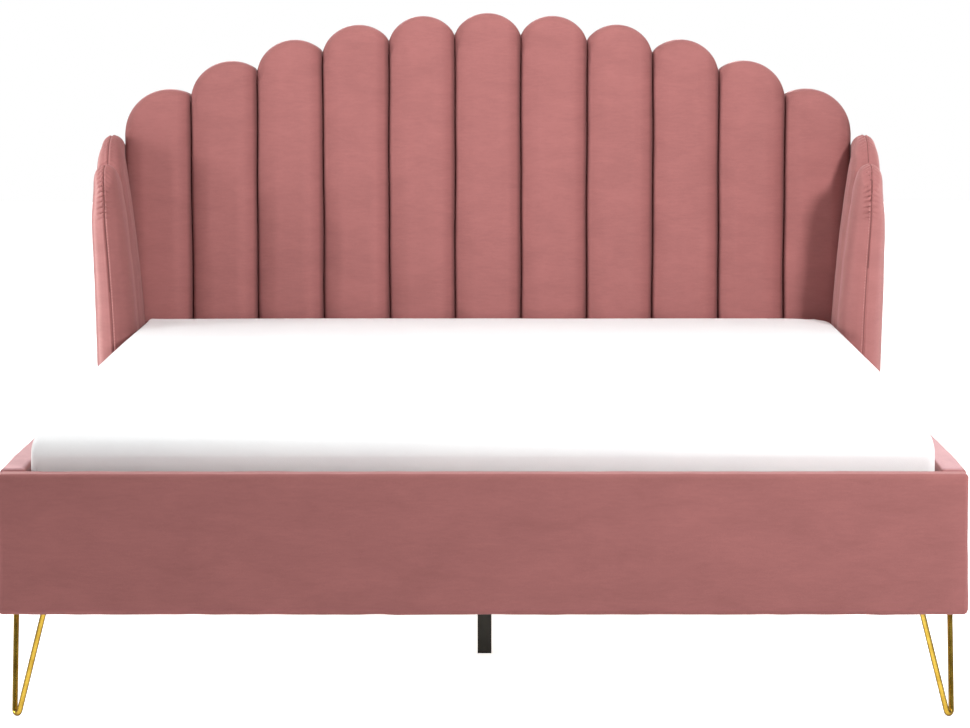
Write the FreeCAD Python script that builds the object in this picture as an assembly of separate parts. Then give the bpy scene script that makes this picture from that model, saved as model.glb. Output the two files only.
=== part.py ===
"""Upholstered double bed with a scalloped channel headboard, side wings and hairpin legs.

Millimetres. The origin is on the floor, under the middle of the bed's outline.
+X runs across the bed, +Y from the foot end to the headboard, +Z up.
Pieces that come in a left and a right are made once for the +X side and mirrored.
"""
import FreeCAD, Part
import math
import os

# ---------------------------------------------------------------- driving dimensions
mattress_width = 1600.0
mattress_length = 2000.0
mattress_thickness = 200.0
mattress_clearance = 3.0        # all round, between the mattress and the frame
leg_height = 188.0              # floor to the underside of the frame
frame_height = 248.0            # depth of the rails and the footboard
rail_thickness = 46.0
footboard_thickness = 50.0
slat_top = 304.0
slat_count = 12

channel_count = 11
channel_pitch = 155.0
channel_depth = 62.0
channel_bottom = 312.0          # the channels stop just above the slats
crown_height = 1225.0           # top of the middle channel
crown_radius = 1750.0           # the channel tops lie on an arc of this radius
groove_drop = 46.0              # how far the notch between two channels dips below that arc
shoulder_height = 925.0         # outer end of the outermost channel
board_thickness = 18.0
batten_thickness = 22.0
back_cover_thickness = 3.0
board_inset = 7.0               # padding round the edge of the headboard's board
board_lift = 2.0                # boards stand this far above the bottom of the frame
cover_inset = 0.5
cover_hem = 6.0                 # thickness of the cover and its wadding round the edges
post_width = 60.0               # posts and battens behind the board
post_top_drop = 25.0            # from the headboard's shoulder to the top of a post

finger_depth = 145.0            # length of one wing finger along the bed
wing_front_top = 884.0
wing_rear_top = 941.0
front_finger_falls = (62.0, 40.0)   # how far its rounded top falls to its front and to its rear edge
rear_finger_falls = (70.0, 50.0)
wing_top_round = 30.0           # rough radius of the half-round along the wing's top
wing_outer_low = 885.0          # outer face of the wing, from the middle of the bed, at its bottom
wing_outer_high = 901.0         # and just below its rounded top
wing_flare_start = 300.0        # the inner face is upright to this height, then flares outwards
wing_flare_radius = 3700.0
wing_board_thickness = 16.0
wing_board_inset = 30.0         # padding between the wing board's edge and the finger's edge
wing_back_padding = 4.0

rod_diameter = 10.0
leg_plate_size = 82.0
leg_plate_thickness = 3.0
centre_leg_width = 27.0
centre_leg_setback = 600.0      # from the foot end of the bed to the first centre leg

# ---------------------------------------------------------------- derived places
inner_half_width = mattress_width / 2 + mattress_clearance
outer_half_width = inner_half_width + rail_thickness
frame_bottom = leg_height
frame_top = leg_height + frame_height
headboard_depth = channel_depth + board_thickness + batten_thickness + back_cover_thickness
well_length = mattress_length + 2 * mattress_clearance
bed_length = footboard_thickness + well_length + headboard_depth
foot_end = -bed_length / 2
footboard_inner = foot_end + footboard_thickness
headboard_face = footboard_inner + well_length
headboard_back = headboard_face + headboard_depth
board_front = headboard_face + channel_depth
board_back = board_front + board_thickness
batten_back = board_back + batten_thickness
headboard_half_width = channel_count * channel_pitch / 2
wing_front = headboard_face - 2 * finger_depth
wing_rear = headboard_face - 1.0
wing_board_inner = headboard_half_width + 2.0
wing_board_outer = wing_board_inner + wing_board_thickness
slat_thickness = 20.0
slat_bottom = slat_top - slat_thickness
bolt_play = 0.1                 # a hole is this much larger than its bolt or screw, all round
pad_bolt_play = 0.5             # and in soft padding

SIDES = (("left", -1), ("right", 1))
X_AXIS = FreeCAD.Vector(1, 0, 0)
Y_AXIS = FreeCAD.Vector(0, 1, 0)
Z_AXIS = FreeCAD.Vector(0, 0, 1)


# ---------------------------------------------------------------- helpers
def vector(x, y, z):
    return FreeCAD.Vector(x, y, z)


def block(x0, x1, y0, y1, z0, z1):
    """Box between two corners."""
    return Part.makeBox(x1 - x0, y1 - y0, z1 - z0, vector(x0, y0, z0))


def soft_block(x0, x1, y0, y1, z0, z1, radius, directions):
    """Box whose edges along the named directions (X, Y or Z) are rounded."""
    body = block(x0, x1, y0, y1, z0, z1)
    axes = {"X": X_AXIS, "Y": Y_AXIS, "Z": Z_AXIS}
    edges = []
    for edge in body.Edges:
        along = edge.tangentAt(edge.FirstParameter)
        if any(abs(along.dot(axes[name])) > 0.99 for name in directions):
            edges.append(edge)
    return body.makeFillet(radius, edges)


def mirrored(shape):
    """The same piece on the other side of the bed."""
    return shape.mirror(vector(0, 0, 0), X_AXIS)


def for_side(shape, side):
    return shape if side > 0 else mirrored(shape)


def prism(edges, direction):
    """Solid made by moving a closed outline along a direction."""
    return Part.Face(Part.Wire(edges)).extrude(direction)


def lines(points):
    """Straight edges through a list of points."""
    return [Part.LineSegment(a, b).toShape() for a, b in zip(points, points[1:])]


def arc(start, middle, end):
    return Part.Arc(start, middle, end).toShape()


def cut_away(shape, tools):
    """The shape less every tool."""
    return shape.cut(Part.makeCompound(tools)) if tools else shape


def fastener(point, direction, length, shank_radius, head_radius, head_height, play=0.0):
    """Pan-head screw or bolt: the head's underside is at point, the shank goes along direction."""
    unit = FreeCAD.Vector(direction)
    unit.normalize()
    shank = Part.makeCylinder(shank_radius + play, length + play, point, unit)
    start = point - unit * (head_height + play)
    head = Part.makeCylinder(head_radius + play, head_height + play, start, unit)
    return head.fuse(shank).removeSplitter()


def fastener_set(places, size, play=0.0):
    """Fasteners of one size. Each place is (point, direction)."""
    return [fastener(point, direction, *size, play=play) for point, direction in places]


def both_sides(shapes):
    """The +X pieces and their mirror images."""
    return list(shapes) + [mirrored(shape) for shape in shapes]


# ---------------------------------------------------------------- headboard
def crown(x):
    """Height of the arc that the channel tops follow."""
    return crown_height - crown_radius + math.sqrt(crown_radius**2 - x**2)


def notch_height(index):
    """Height of the headboard's outline at a boundary between channels, counted from the left."""
    if index in (0, channel_count):
        return shoulder_height
    return crown(boundary(index)) - groove_drop


def boundary(index):
    return -headboard_half_width + index * channel_pitch


def channel_top(index, x0, x1, y, inset):
    """Rounded top edge of one channel."""
    middle = (boundary(index) + boundary(index + 1)) / 2
    left = vector(x0, y, notch_height(index) - inset)
    top = vector(middle, y, crown(middle) - inset)
    right = vector(x1, y, notch_height(index + 1) - inset)
    return left, right, arc(left, top, right)


def scalloped_prism(y0, y1, bottom, inset):
    """Board with the headboard's scalloped outline, held back from it by an inset."""
    half = headboard_half_width - inset
    edges = []
    first = last = None
    for index in range(channel_count):
        x0 = max(boundary(index), -half)
        x1 = min(boundary(index + 1), half)
        left, right, top = channel_top(index, x0, x1, y0, inset)
        edges.append(top)
        first = first or left
        last = right
    edges += lines([last, vector(half, y0, bottom), vector(-half, y0, bottom), first])
    return prism(edges, vector(0, y1 - y0, 0))


def channel_pad(index):
    """One padded vertical channel."""
    gap = 0.5
    x0 = boundary(index) + gap
    x1 = boundary(index + 1) - gap
    y0 = headboard_face
    left, right, top = channel_top(index, x0, x1, y0, 0.0)
    sides = lines([right, vector(x1, y0, channel_bottom), vector(x0, y0, channel_bottom), left])
    return prism([top] + sides, vector(0, channel_depth - gap, 0))


def headboard_board():
    board = scalloped_prism(board_front, board_back, frame_bottom + board_lift, board_inset)
    return cut_away(board, leg_screws(bolt_play))


def headboard_back_cover():
    """Tray of fabric: it wraps the edges and closes the back."""
    outside = scalloped_prism(board_front, headboard_back, frame_bottom, cover_inset)
    inside = scalloped_prism(board_front - 1, batten_back, frame_bottom - 1, cover_hem)
    return cut_away(outside.cut(inside), wing_bolts(bolt_play))


def post_prism():
    """Upright at the side of the headboard, behind the board."""
    half = headboard_half_width - board_inset
    return block(half - post_width, half, board_back, batten_back - cover_inset,
                 frame_bottom + board_lift, shoulder_height - post_top_drop)


def headboard_back_frame():
    """Two posts and two battens, each its own piece of timber."""
    post = cut_away(post_prism(), wing_bolts(bolt_play))
    half = post.BoundBox.XMin - cover_inset
    pieces = [post, mirrored(post)]
    for z in (frame_bottom + board_lift, shoulder_height - post_top_drop - post_width):
        pieces.append(block(-half, half, board_back, batten_back - cover_inset, z, z + post_width))
    return Part.makeCompound(pieces)


def headboard_lower_rail():
    """Solid timber below the channels. It carries the beam and the rear legs."""
    half = headboard_half_width - board_lift
    rail = block(-half, half, headboard_face, board_front, frame_bottom, slat_top + board_lift)
    return cut_away(rail, leg_screws(bolt_play))


# ---------------------------------------------------------------- wings
def wing_inner_face(z):
    """Distance of a wing's inner face from the middle of the bed, at a height."""
    rise = max(0.0, z - wing_flare_start)
    return inner_half_width + wing_flare_radius - math.sqrt(wing_flare_radius**2 - rise**2)


def wing_section(top, y0, y1):
    """Prism along the bed with the wing's front outline and a half-round top at a given height."""
    radius = (wing_outer_high - wing_inner_face(top - wing_top_round)) / 2
    centre_z = top - radius
    inner_x = wing_inner_face(centre_z)
    middle_z = (wing_flare_start + centre_z) / 2
    outer_low = vector(wing_outer_low, y0, frame_bottom)
    outer_high = vector(wing_outer_high, y0, centre_z)
    apex = vector((wing_outer_high + inner_x) / 2, y0, top)
    inner_high = vector(inner_x, y0, centre_z)
    inner_mid = vector(wing_inner_face(middle_z), y0, middle_z)
    inner_start = vector(inner_half_width, y0, wing_flare_start)
    inner_low = vector(inner_half_width, y0, frame_bottom)
    edges = [
        Part.LineSegment(outer_low, outer_high).toShape(),
        arc(outer_high, apex, inner_high),
        arc(inner_high, inner_mid, inner_start),
        Part.LineSegment(inner_start, inner_low).toShape(),
        Part.LineSegment(inner_low, outer_low).toShape(),
    ]
    return prism(edges, vector(0, y1 - y0, 0))


wing_range_start = 700.0        # a range of X that holds a whole wing
wing_range_end = 1000.0
finger_boundary = wing_front + finger_depth


def across_wing(y0, y1, z0, z1):
    """Box through the whole width of a wing."""
    return block(wing_range_start, wing_range_end, y0, y1, z0, z1)


def finger_side(y0, y1, top, falls):
    """Prism across the wing with the side view of one finger: upright edges and a rounded top."""
    front = vector(wing_range_start, y0, top - falls[0])
    crest = vector(wing_range_start, (y0 + y1) / 2, top)
    rear = vector(wing_range_start, y1, top - falls[1])
    corner_rear = vector(wing_range_start, y1, frame_bottom)
    corner_front = vector(wing_range_start, y0, frame_bottom)
    edges = [arc(front, crest, rear)] + lines([rear, corner_rear, corner_front, front])
    return prism(edges, vector(wing_range_end - wing_range_start, 0, 0))


def front_finger_side(inset):
    return finger_side(wing_front + inset, finger_boundary, wing_front_top - inset, front_finger_falls)


def rear_finger_side(inset):
    rear = headboard_back - min(inset, wing_back_padding)
    return finger_side(finger_boundary, rear, wing_rear_top - inset, rear_finger_falls)


def wing_core(inset):
    """Side view of the wing, held back from its edges by an inset."""
    return front_finger_side(inset).fuse(rear_finger_side(inset)).removeSplitter()


def wing_board():
    """Upright plywood inside the wing; it laps the side of the headboard."""
    slab = block(wing_board_inner, wing_board_outer, wing_front, headboard_back,
                 frame_bottom + board_lift, crown_height)
    holes = wing_bolts(bolt_play) + joint_bolts(bolt_play)
    return cut_away(slab.common(wing_core(wing_board_inset)), holes)


def wing_board_slot():
    """Space for the wing board inside the padding, open at the bottom and the back."""
    play = 0.5
    open_end = across_wing(wing_front + wing_board_inset - play, headboard_back + 1,
                           frame_bottom - 1, frame_bottom + leg_height)
    slab = block(wing_board_inner - play, wing_board_outer + play, wing_front, headboard_back + 1,
                 frame_bottom - 1, crown_height)
    return slab.common(wing_core(wing_board_inset - play).fuse(open_end))


def wing_pad(y0, y1, top, side_view):
    """Padded finger of a wing, hollowed for the board inside it."""
    seam = 0.5
    beside_headboard = block(wing_range_start, wing_board_inner, wing_rear, headboard_back + 1,
                             frame_bottom - 1, crown_height)
    pad = wing_section(top, y0 + seam, y1).common(side_view)
    pad = pad.cut(wing_board_slot()).cut(beside_headboard)
    return cut_away(pad, wing_bolts(pad_bolt_play) + joint_bolts(pad_bolt_play))


def front_wing_pad():
    return wing_pad(wing_front, finger_boundary, wing_front_top, front_finger_side(0))


def rear_wing_pad():
    return wing_pad(finger_boundary, headboard_back, wing_rear_top, rear_finger_side(0))


wing_bolt_heights = (280.0, 540.0, 800.0)
wing_bolt_size = (60.0, 3.0, 7.0, 4.0)      # length, shank radius, head radius, head height


def wing_bolts(play):
    """Three bolts a side, through the wing board into the headboard's post."""
    middle = (board_back + batten_back) / 2
    places = [(vector(wing_board_outer, middle, z), vector(-1, 0, 0)) for z in wing_bolt_heights]
    return both_sides(fastener_set(places, wing_bolt_size, play))


# ---------------------------------------------------------------- rails and footboard
rail_foam_outer = 12.0
rail_foam_inner = 9.0
rail_wrap = 8.0                 # padding over the top and bottom edges of a board
rail_end_play = 2.0
cover_round = 12.0              # rounding of the padded edges
rail_front = footboard_inner + 0.5
rail_rear = wing_front - 0.5


def side_rail_blank():
    return block(inner_half_width + rail_foam_inner, outer_half_width - rail_foam_outer,
                 rail_front + rail_end_play, rail_rear - rail_end_play,
                 frame_bottom + rail_wrap, frame_top - rail_wrap)


def side_rail_board():
    return cut_away(side_rail_blank(), corner_bolts(bolt_play) + joint_bolts(bolt_play) + leg_screws(bolt_play))


def side_rail_cover():
    sleeve = soft_block(inner_half_width, outer_half_width, rail_front, rail_rear,
                        frame_bottom, frame_top, cover_round, "Y")
    holes = corner_bolts(bolt_play) + joint_bolts(bolt_play) + leg_screws(bolt_play)
    return cut_away(sleeve.cut(side_rail_blank()), holes)


def footboard_blank():
    half = outer_half_width - rail_foam_outer
    return block(-half, half, foot_end + rail_foam_outer, footboard_inner - rail_foam_inner,
                 frame_bottom + rail_wrap, frame_top - rail_wrap)


def footboard_board():
    return cut_away(footboard_blank(), corner_bolts(bolt_play) + leg_screws(bolt_play))


def footboard_cover():
    case = soft_block(-outer_half_width, outer_half_width, foot_end, footboard_inner,
                      frame_bottom, frame_top, cover_round, "XYZ")
    return cut_away(case.cut(footboard_blank()), corner_bolts(bolt_play) + leg_screws(bolt_play))


# ---------------------------------------------------------------- corner joints
corner_block_size = 60.0
corner_block_height = 54.0
corner_bolt_size = (88.0, 4.0, 8.0, 5.0)    # length, shank radius, head radius, head height
corner_bolt_setback = 42.0      # from the inside of the corner to a bolt's line
rail_bolt_height = 45.0         # the two bolts cross at different heights
footboard_bolt_height = 33.0


def corner_block_blank():
    return block(inner_half_width - corner_block_size, inner_half_width, footboard_inner,
                 footboard_inner + corner_block_size, frame_bottom, frame_bottom + corner_block_height)


def corner_blocks():
    block_right = cut_away(corner_block_blank(), corner_bolts(bolt_play) + leg_screws(bolt_play))
    return Part.makeCompound([block_right, mirrored(block_right)])


def corner_bolts(play):
    """Two bolts at each front corner: one into the rail, one into the footboard."""
    rail_bolt_start = vector(inner_half_width - corner_block_size,
                             footboard_inner + corner_bolt_setback, frame_bottom + rail_bolt_height)
    footboard_bolt_start = vector(inner_half_width - corner_bolt_setback,
                                  footboard_inner + corner_block_size,
                                  frame_bottom + footboard_bolt_height)
    places = [(rail_bolt_start, vector(1, 0, 0)), (footboard_bolt_start, vector(0, -1, 0))]
    return both_sides(fastener_set(places, corner_bolt_size, play))


joint_plate_thickness = 4.0
joint_plate_reach = 85.0        # how far the plate runs each way from the joint
joint_plate_bottom = frame_bottom + 8.0
joint_plate_top = joint_plate_bottom + 40.0
joint_bolt_steps = (-70.0, -30.0, 30.0, 70.0)
rail_joint_bolt = (34.0, 3.0, 6.5, 3.5)     # length, shank radius, head radius, head height
wing_joint_bolt = (66.0, 3.0, 6.5, 3.5)


def rail_joint_plates():
    """Flat steel strap across each joint between a side rail and its wing."""
    plate = block(inner_half_width - joint_plate_thickness, inner_half_width,
                  wing_front - joint_plate_reach, wing_front + joint_plate_reach,
                  joint_plate_bottom, joint_plate_top)
    plate = cut_away(plate, joint_bolts(bolt_play))
    return Part.makeCompound([plate, mirrored(plate)])


def joint_bolts(play):
    """Four bolts a side: two into the rail board and two into the wing board."""
    x = inner_half_width - joint_plate_thickness
    z = (joint_plate_bottom + joint_plate_top) / 2
    bolts = []
    for step in joint_bolt_steps:
        size = rail_joint_bolt if step < 0 else wing_joint_bolt
        place = (vector(x, wing_front + step, z), vector(1, 0, 0))
        bolts += fastener_set([place], size, play)
    return both_sides(bolts)


# ---------------------------------------------------------------- slat base
ledge_width = 20.0
ledge_height = 40.0
beam_width = 40.0
beam_height = 60.0
beam_edge_round = 2.0
hanger_steel = 3.0
hanger_reach = 45.0
slat_edge_round = 3.0
slat_width = 80.0
slat_half_length = inner_half_width - 3.0
slat_end_margin = 55.0
slat_screw_size = (30.0, 2.0, 4.0, 2.5)     # length, shank radius, head radius, head height


def slat_ledge():
    """Timber strip on the inside of a rail; the slats lie on it."""
    ledge = block(inner_half_width - ledge_width, inner_half_width, footboard_inner,
                  headboard_face, slat_bottom - ledge_height, slat_bottom)
    return cut_away(ledge, slat_screws(bolt_play))


def slat_centre(index):
    first = footboard_inner + slat_end_margin
    last = headboard_face - slat_end_margin
    return first + index * (last - first) / (slat_count - 1)


def slat(index):
    y = slat_centre(index)
    board = soft_block(-slat_half_length, slat_half_length, y - slat_width / 2, y + slat_width / 2,
                       slat_bottom, slat_top, slat_edge_round, "X")
    return cut_away(board, slat_screws(bolt_play))


def slat_screws(play):
    """One screw at each end of each slat, its head sunk flush with the top."""
    head_height = slat_screw_size[-1]
    x = inner_half_width - ledge_width / 2
    places = []
    for index in range(slat_count):
        places.append((vector(x, slat_centre(index), slat_top - head_height), vector(0, 0, -1)))
    return both_sides(fastener_set(places, slat_screw_size, play))


def centre_beam():
    return soft_block(-beam_width / 2, beam_width / 2, footboard_inner + hanger_steel,
                      headboard_face - hanger_steel, slat_bottom - beam_height, slat_bottom,
                      beam_edge_round, "Y")


def beam_hanger(wall, inward):
    """Steel shoe for one end of the beam, fixed to the end wall at y = wall."""
    half = beam_width / 2
    bottom = slat_bottom - beam_height
    y0, y1 = sorted((wall, wall + inward * hanger_reach))
    outside = block(-half - hanger_steel, half + hanger_steel, y0, y1,
                    bottom - hanger_steel, slat_bottom - beam_edge_round)
    pocket_y0, pocket_y1 = sorted((wall + inward * hanger_steel, wall + inward * (hanger_reach + 1)))
    pocket = block(-half, half, pocket_y0, pocket_y1, bottom, slat_top)
    return outside.cut(pocket)


def beam_hangers():
    return Part.makeCompound([beam_hanger(footboard_inner, 1), beam_hanger(headboard_face, -1)])


# ---------------------------------------------------------------- centre legs
glide_thickness = 4.0
centre_leg_wall = 1.5
centre_plate_length = 76.0
centre_plate_thickness = 3.0
centre_leg_edge_round = 2.0
plug_height = 18.0
plug_play = 0.1


def centre_leg(y):
    """Square steel tube welded to a plate under the beam."""
    top = slat_bottom - beam_height
    tube_top = top - centre_plate_thickness
    plate_half = centre_plate_length / 2
    half = centre_leg_width / 2
    inside = half - centre_leg_wall
    plate = block(-beam_width / 2, beam_width / 2, y - plate_half, y + plate_half, tube_top, top)
    tube = soft_block(-half, half, y - half, y + half, glide_thickness, tube_top,
                      centre_leg_edge_round, "Z")
    hollow = block(-inside, inside, y - inside, y + inside, glide_thickness - 1, tube_top)
    return plate.fuse(tube.cut(hollow)).removeSplitter()


def centre_leg_feet():
    """Plastic plugs that close the tubes and stand on the floor."""
    half = centre_leg_width / 2
    inside = half - centre_leg_wall - plug_play
    feet = []
    for y in centre_leg_places():
        pad = block(-half, half, y - half, y + half, 0, glide_thickness)
        plug = block(-inside, inside, y - inside, y + inside, glide_thickness,
                     glide_thickness + plug_height)
        feet.append(pad.fuse(plug).removeSplitter())
    return Part.makeCompound(feet)


def centre_leg_places():
    first = foot_end + centre_leg_setback
    return (first, -first)


# ---------------------------------------------------------------- hairpin legs
foot_inset_x = 29.0             # from the rail's outer face to the middle of the leg's foot
front_foot_inset = 28.0         # from the foot end of the bed
rear_foot_inset = 36.0          # from the back of the headboard
rod_spread = 50.0               # how far each rod leans along its own side of the frame
rod_outset = 6.0
bend_radius = 7.0
plate_corner_round = 8.0
plate_edge_inset = 15.0         # from the frame's outer faces, so the cover's edge hides the plate
leg_screw_size = (26.0, 2.5, 5.0, 3.0)      # length, shank radius, head radius, head height
leg_screw_places = ((2.0, -1.5), (-22.0, -1.5), (-44.0, -48.5))     # across the bed, and inwards


def leg_foot(end):
    """Middle of a leg's foot on the +X side; end is -1 at the foot end, +1 at the headboard."""
    inset = front_foot_inset if end < 0 else rear_foot_inset
    return vector(outer_half_width - foot_inset_x, end * (bed_length / 2 - inset), 0)


def leg_rod(end):
    """One bent rod: two straight legs that meet in a small bend on the floor."""
    radius = rod_diameter / 2
    foot = leg_foot(end)
    weld_height = frame_bottom - leg_plate_thickness / 2
    tilt = math.atan2((rod_spread - rod_outset) / math.sqrt(2), weld_height - radius - bend_radius)
    centre = vector(foot.x, foot.y, radius + bend_radius * math.cos(tilt))
    along_rail = vector(foot.x + rod_outset, foot.y - end * rod_spread, weld_height)
    along_end = vector(foot.x - rod_spread, foot.y + end * rod_outset, weld_height)
    across = along_rail - along_end
    half_gap = across.Length / 2
    across.normalize()
    upward = (along_rail + along_end) * 0.5 - centre
    rise = upward.Length
    upward.normalize()
    lean = math.atan2(rise, half_gap) - math.acos(bend_radius / math.hypot(rise, half_gap))
    start = centre + across * (bend_radius * math.cos(lean)) + upward * (bend_radius * math.sin(lean))
    finish = centre - across * (bend_radius * math.cos(lean)) + upward * (bend_radius * math.sin(lean))
    lowest = centre - upward * bend_radius
    path = Part.Wire([
        Part.LineSegment(along_rail, start).toShape(),
        arc(start, lowest, finish),
        Part.LineSegment(finish, along_end).toShape(),
    ])
    profile = Part.Wire([Part.makeCircle(radius, along_rail, start - along_rail)])
    return path.makePipeShell([profile], True, True)


def leg_plate(end):
    """Square steel plate under the corner of the frame."""
    x1 = outer_half_width - plate_edge_inset
    y_corner = end * (bed_length / 2 - plate_edge_inset)
    y0, y1 = sorted((y_corner, y_corner - end * leg_plate_size))
    return soft_block(x1 - leg_plate_size, x1, y0, y1, frame_bottom - leg_plate_thickness,
                      frame_bottom, plate_corner_round, "Z")


def hairpin_leg(end):
    rod = leg_rod(end)
    trim = block(0, bed_length, -bed_length, bed_length, frame_bottom, frame_top)
    leg = leg_plate(end).fuse(rod.cut(trim)).removeSplitter()
    return cut_away(leg, leg_screws(bolt_play))


def leg_screws(play):
    """Three screws up through each leg plate into the frame."""
    z = frame_bottom - leg_plate_thickness
    places = []
    for end in (-1, 1):
        foot = leg_foot(end)
        for across, inwards in leg_screw_places:
            places.append((vector(foot.x + across, foot.y + end * inwards, z), Z_AXIS))
    return both_sides(fastener_set(places, leg_screw_size, play))


# ---------------------------------------------------------------- mattress
mattress_skin = 14.0
mattress_round = 24.0
lift_play = 0.3                 # the mattress rests this far above the slats, so faces never rub


def mattress_block(margin):
    half = mattress_width / 2 - margin
    y0 = footboard_inner + mattress_clearance + margin
    z0 = slat_top + lift_play
    return (-half, half, y0, y0 + mattress_length - 2 * margin, z0 + margin,
            z0 + mattress_thickness - margin)


def mattress_cover():
    """Quilted cover: a closed skin round the foam."""
    outside = soft_block(*mattress_block(0.0), mattress_round, "XYZ")
    return outside.cut(block(*mattress_block(mattress_skin)))


def mattress_core():
    return block(*mattress_block(mattress_skin + cover_inset))


# ---------------------------------------------------------------- all pieces
def build_nodes():
    nodes = {
        "headboard_board": headboard_board(),
        "headboard_back_frame": headboard_back_frame(),
        "headboard_back_cover": headboard_back_cover(),
        "headboard_lower_rail": headboard_lower_rail(),
        "wing_bolts": Part.makeCompound(wing_bolts(0.0)),
        "footboard_board": footboard_board(),
        "footboard_cover": footboard_cover(),
        "corner_blocks": corner_blocks(),
        "corner_bolts": Part.makeCompound(corner_bolts(0.0)),
        "rail_joint_plates": rail_joint_plates(),
        "rail_joint_bolts": Part.makeCompound(joint_bolts(0.0)),
        "centre_beam": centre_beam(),
        "beam_hangers": beam_hangers(),
        "centre_leg_feet": centre_leg_feet(),
        "leg_screws": Part.makeCompound(leg_screws(0.0)),
        "slat_screws": Part.makeCompound(slat_screws(0.0)),
        "mattress_core": mattress_core(),
        "mattress_cover": mattress_cover(),
    }
    for index in range(channel_count):
        nodes[f"headboard_channel_{index + 1:02d}"] = channel_pad(index)
    for index in range(slat_count):
        nodes[f"slat_{index + 1:02d}"] = slat(index)
    for name, y in zip(("front", "rear"), centre_leg_places()):
        nodes[f"centre_leg_{name}"] = centre_leg(y)
    pairs = {
        "wing_board": wing_board(),
        "wing_finger_front": front_wing_pad(),
        "wing_finger_rear": rear_wing_pad(),
        "side_rail_board": side_rail_board(),
        "side_rail_cover": side_rail_cover(),
        "slat_ledge": slat_ledge(),
        "hairpin_leg_front": hairpin_leg(-1),
        "hairpin_leg_rear": hairpin_leg(1),
    }
    for name, shape in pairs.items():
        for side_name, side in SIDES:
            nodes[f"{name}_{side_name}"] = for_side(shape, side)
    return nodes


def main():
    os.makedirs("parts", exist_ok=True)
    for name, shape in build_nodes().items():
        shape.exportStep(f"parts/{name}.step")
        solids = shape.Solids
        state = "ok" if shape.isValid() else "NOT VALID"
        print(f"{name}: {len(solids)} solid(s), {shape.Volume / 1e6:.3f} litres, {state}")


main()
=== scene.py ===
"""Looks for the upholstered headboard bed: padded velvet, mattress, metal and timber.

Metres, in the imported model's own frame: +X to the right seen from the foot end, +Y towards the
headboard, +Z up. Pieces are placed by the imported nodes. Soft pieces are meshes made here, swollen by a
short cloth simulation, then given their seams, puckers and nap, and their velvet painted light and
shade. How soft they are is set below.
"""

import math

import bmesh
import bpy
import numpy as np
from mathutils import Matrix, Vector


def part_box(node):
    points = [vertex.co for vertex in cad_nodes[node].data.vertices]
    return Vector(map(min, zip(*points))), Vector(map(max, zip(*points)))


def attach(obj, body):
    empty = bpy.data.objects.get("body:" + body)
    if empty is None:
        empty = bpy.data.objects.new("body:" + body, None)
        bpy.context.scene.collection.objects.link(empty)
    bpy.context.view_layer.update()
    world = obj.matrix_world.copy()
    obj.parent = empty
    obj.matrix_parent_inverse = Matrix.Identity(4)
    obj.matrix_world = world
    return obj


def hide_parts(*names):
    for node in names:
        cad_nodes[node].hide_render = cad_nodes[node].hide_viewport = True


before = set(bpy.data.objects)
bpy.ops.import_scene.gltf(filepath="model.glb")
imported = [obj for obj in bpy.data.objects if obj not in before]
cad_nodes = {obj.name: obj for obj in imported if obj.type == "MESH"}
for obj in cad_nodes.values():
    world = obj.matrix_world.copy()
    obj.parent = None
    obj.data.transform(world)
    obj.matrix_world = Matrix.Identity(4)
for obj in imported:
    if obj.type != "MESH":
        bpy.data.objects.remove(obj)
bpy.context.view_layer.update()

FRAME_BODY = "frame"
MATTRESS_BODY = "mattress"
CHANNEL_COUNT = sum(name.startswith("headboard_channel_") for name in cad_nodes)
SIDES = (("left", -1), ("right", 1))

RIGHT_ANGLE = math.pi / 2

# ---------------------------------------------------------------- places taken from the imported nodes
INNER_HALF_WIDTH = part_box("side_rail_cover_right")[0].x
RAIL_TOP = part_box("side_rail_cover_right")[1].z
CHANNEL_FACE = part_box("headboard_channel_01")[0].y
WING_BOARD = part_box("wing_board_right")[0].x
WING_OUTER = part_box("wing_finger_front_right")[1].x
FRAME_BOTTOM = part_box("wing_finger_front_right")[0].z
REAR_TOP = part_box("wing_finger_rear_right")[1].z

# ---------------------------------------------------------------- soft shapes, in metres
SEAM_ROUND = 0.026              # how far from a channel seam the padding curves down into it
SEAM_WANDER = 0.0007
CHANNEL_CROWN = 0.003
SWELL_LIMIT = 0.006             # no channel swells further forward than this
CHANNEL_ROWS = 110
CHANNEL_GAP = 0.0004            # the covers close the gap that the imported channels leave
SAME_PLACE = 1e-5               # points closer than this to a side are on it
CORNER_SOFT = 0.010             # blends the roll into a seam with the roll over the top
HEM_ROUNDED = 0.004             # a channel's lower edge is this far round its roll already
BACK_ROUND = 0.003              # rounding of a channel's rear edge
BACK_CHAMFER = 0.0008
VALLEY_DIP = 0.0030             # the covers are pulled down where two rounded tops meet
VALLEY_WIDTH = 0.0060
CREASE_WIDTH = 0.0024           # width, each side, of the painted shade at the bottom of a channel seam
CREASE_DEPTH = 0.012            # which starts this far behind the channels' faces
WING_SEAM_END = 0.045           # the seam beside a wing, and its painted shade, ends this far below the wing's crest

COVER_CLOTH = 0.0024            # thickness of the cloth over the headboard's back
COVER_INSET = 0.0022            # its edge runs this far inside the channels' tops
COVER_TURN = 0.005              # radius at which it turns forward
COVER_TURN_STEPS = 4
COVER_ROWS = 70
POST_WIDTH = 0.060              # of the posts and battens behind it
SAG_REACH = 0.120               # the cloth reaches its full sag this far from them

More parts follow.
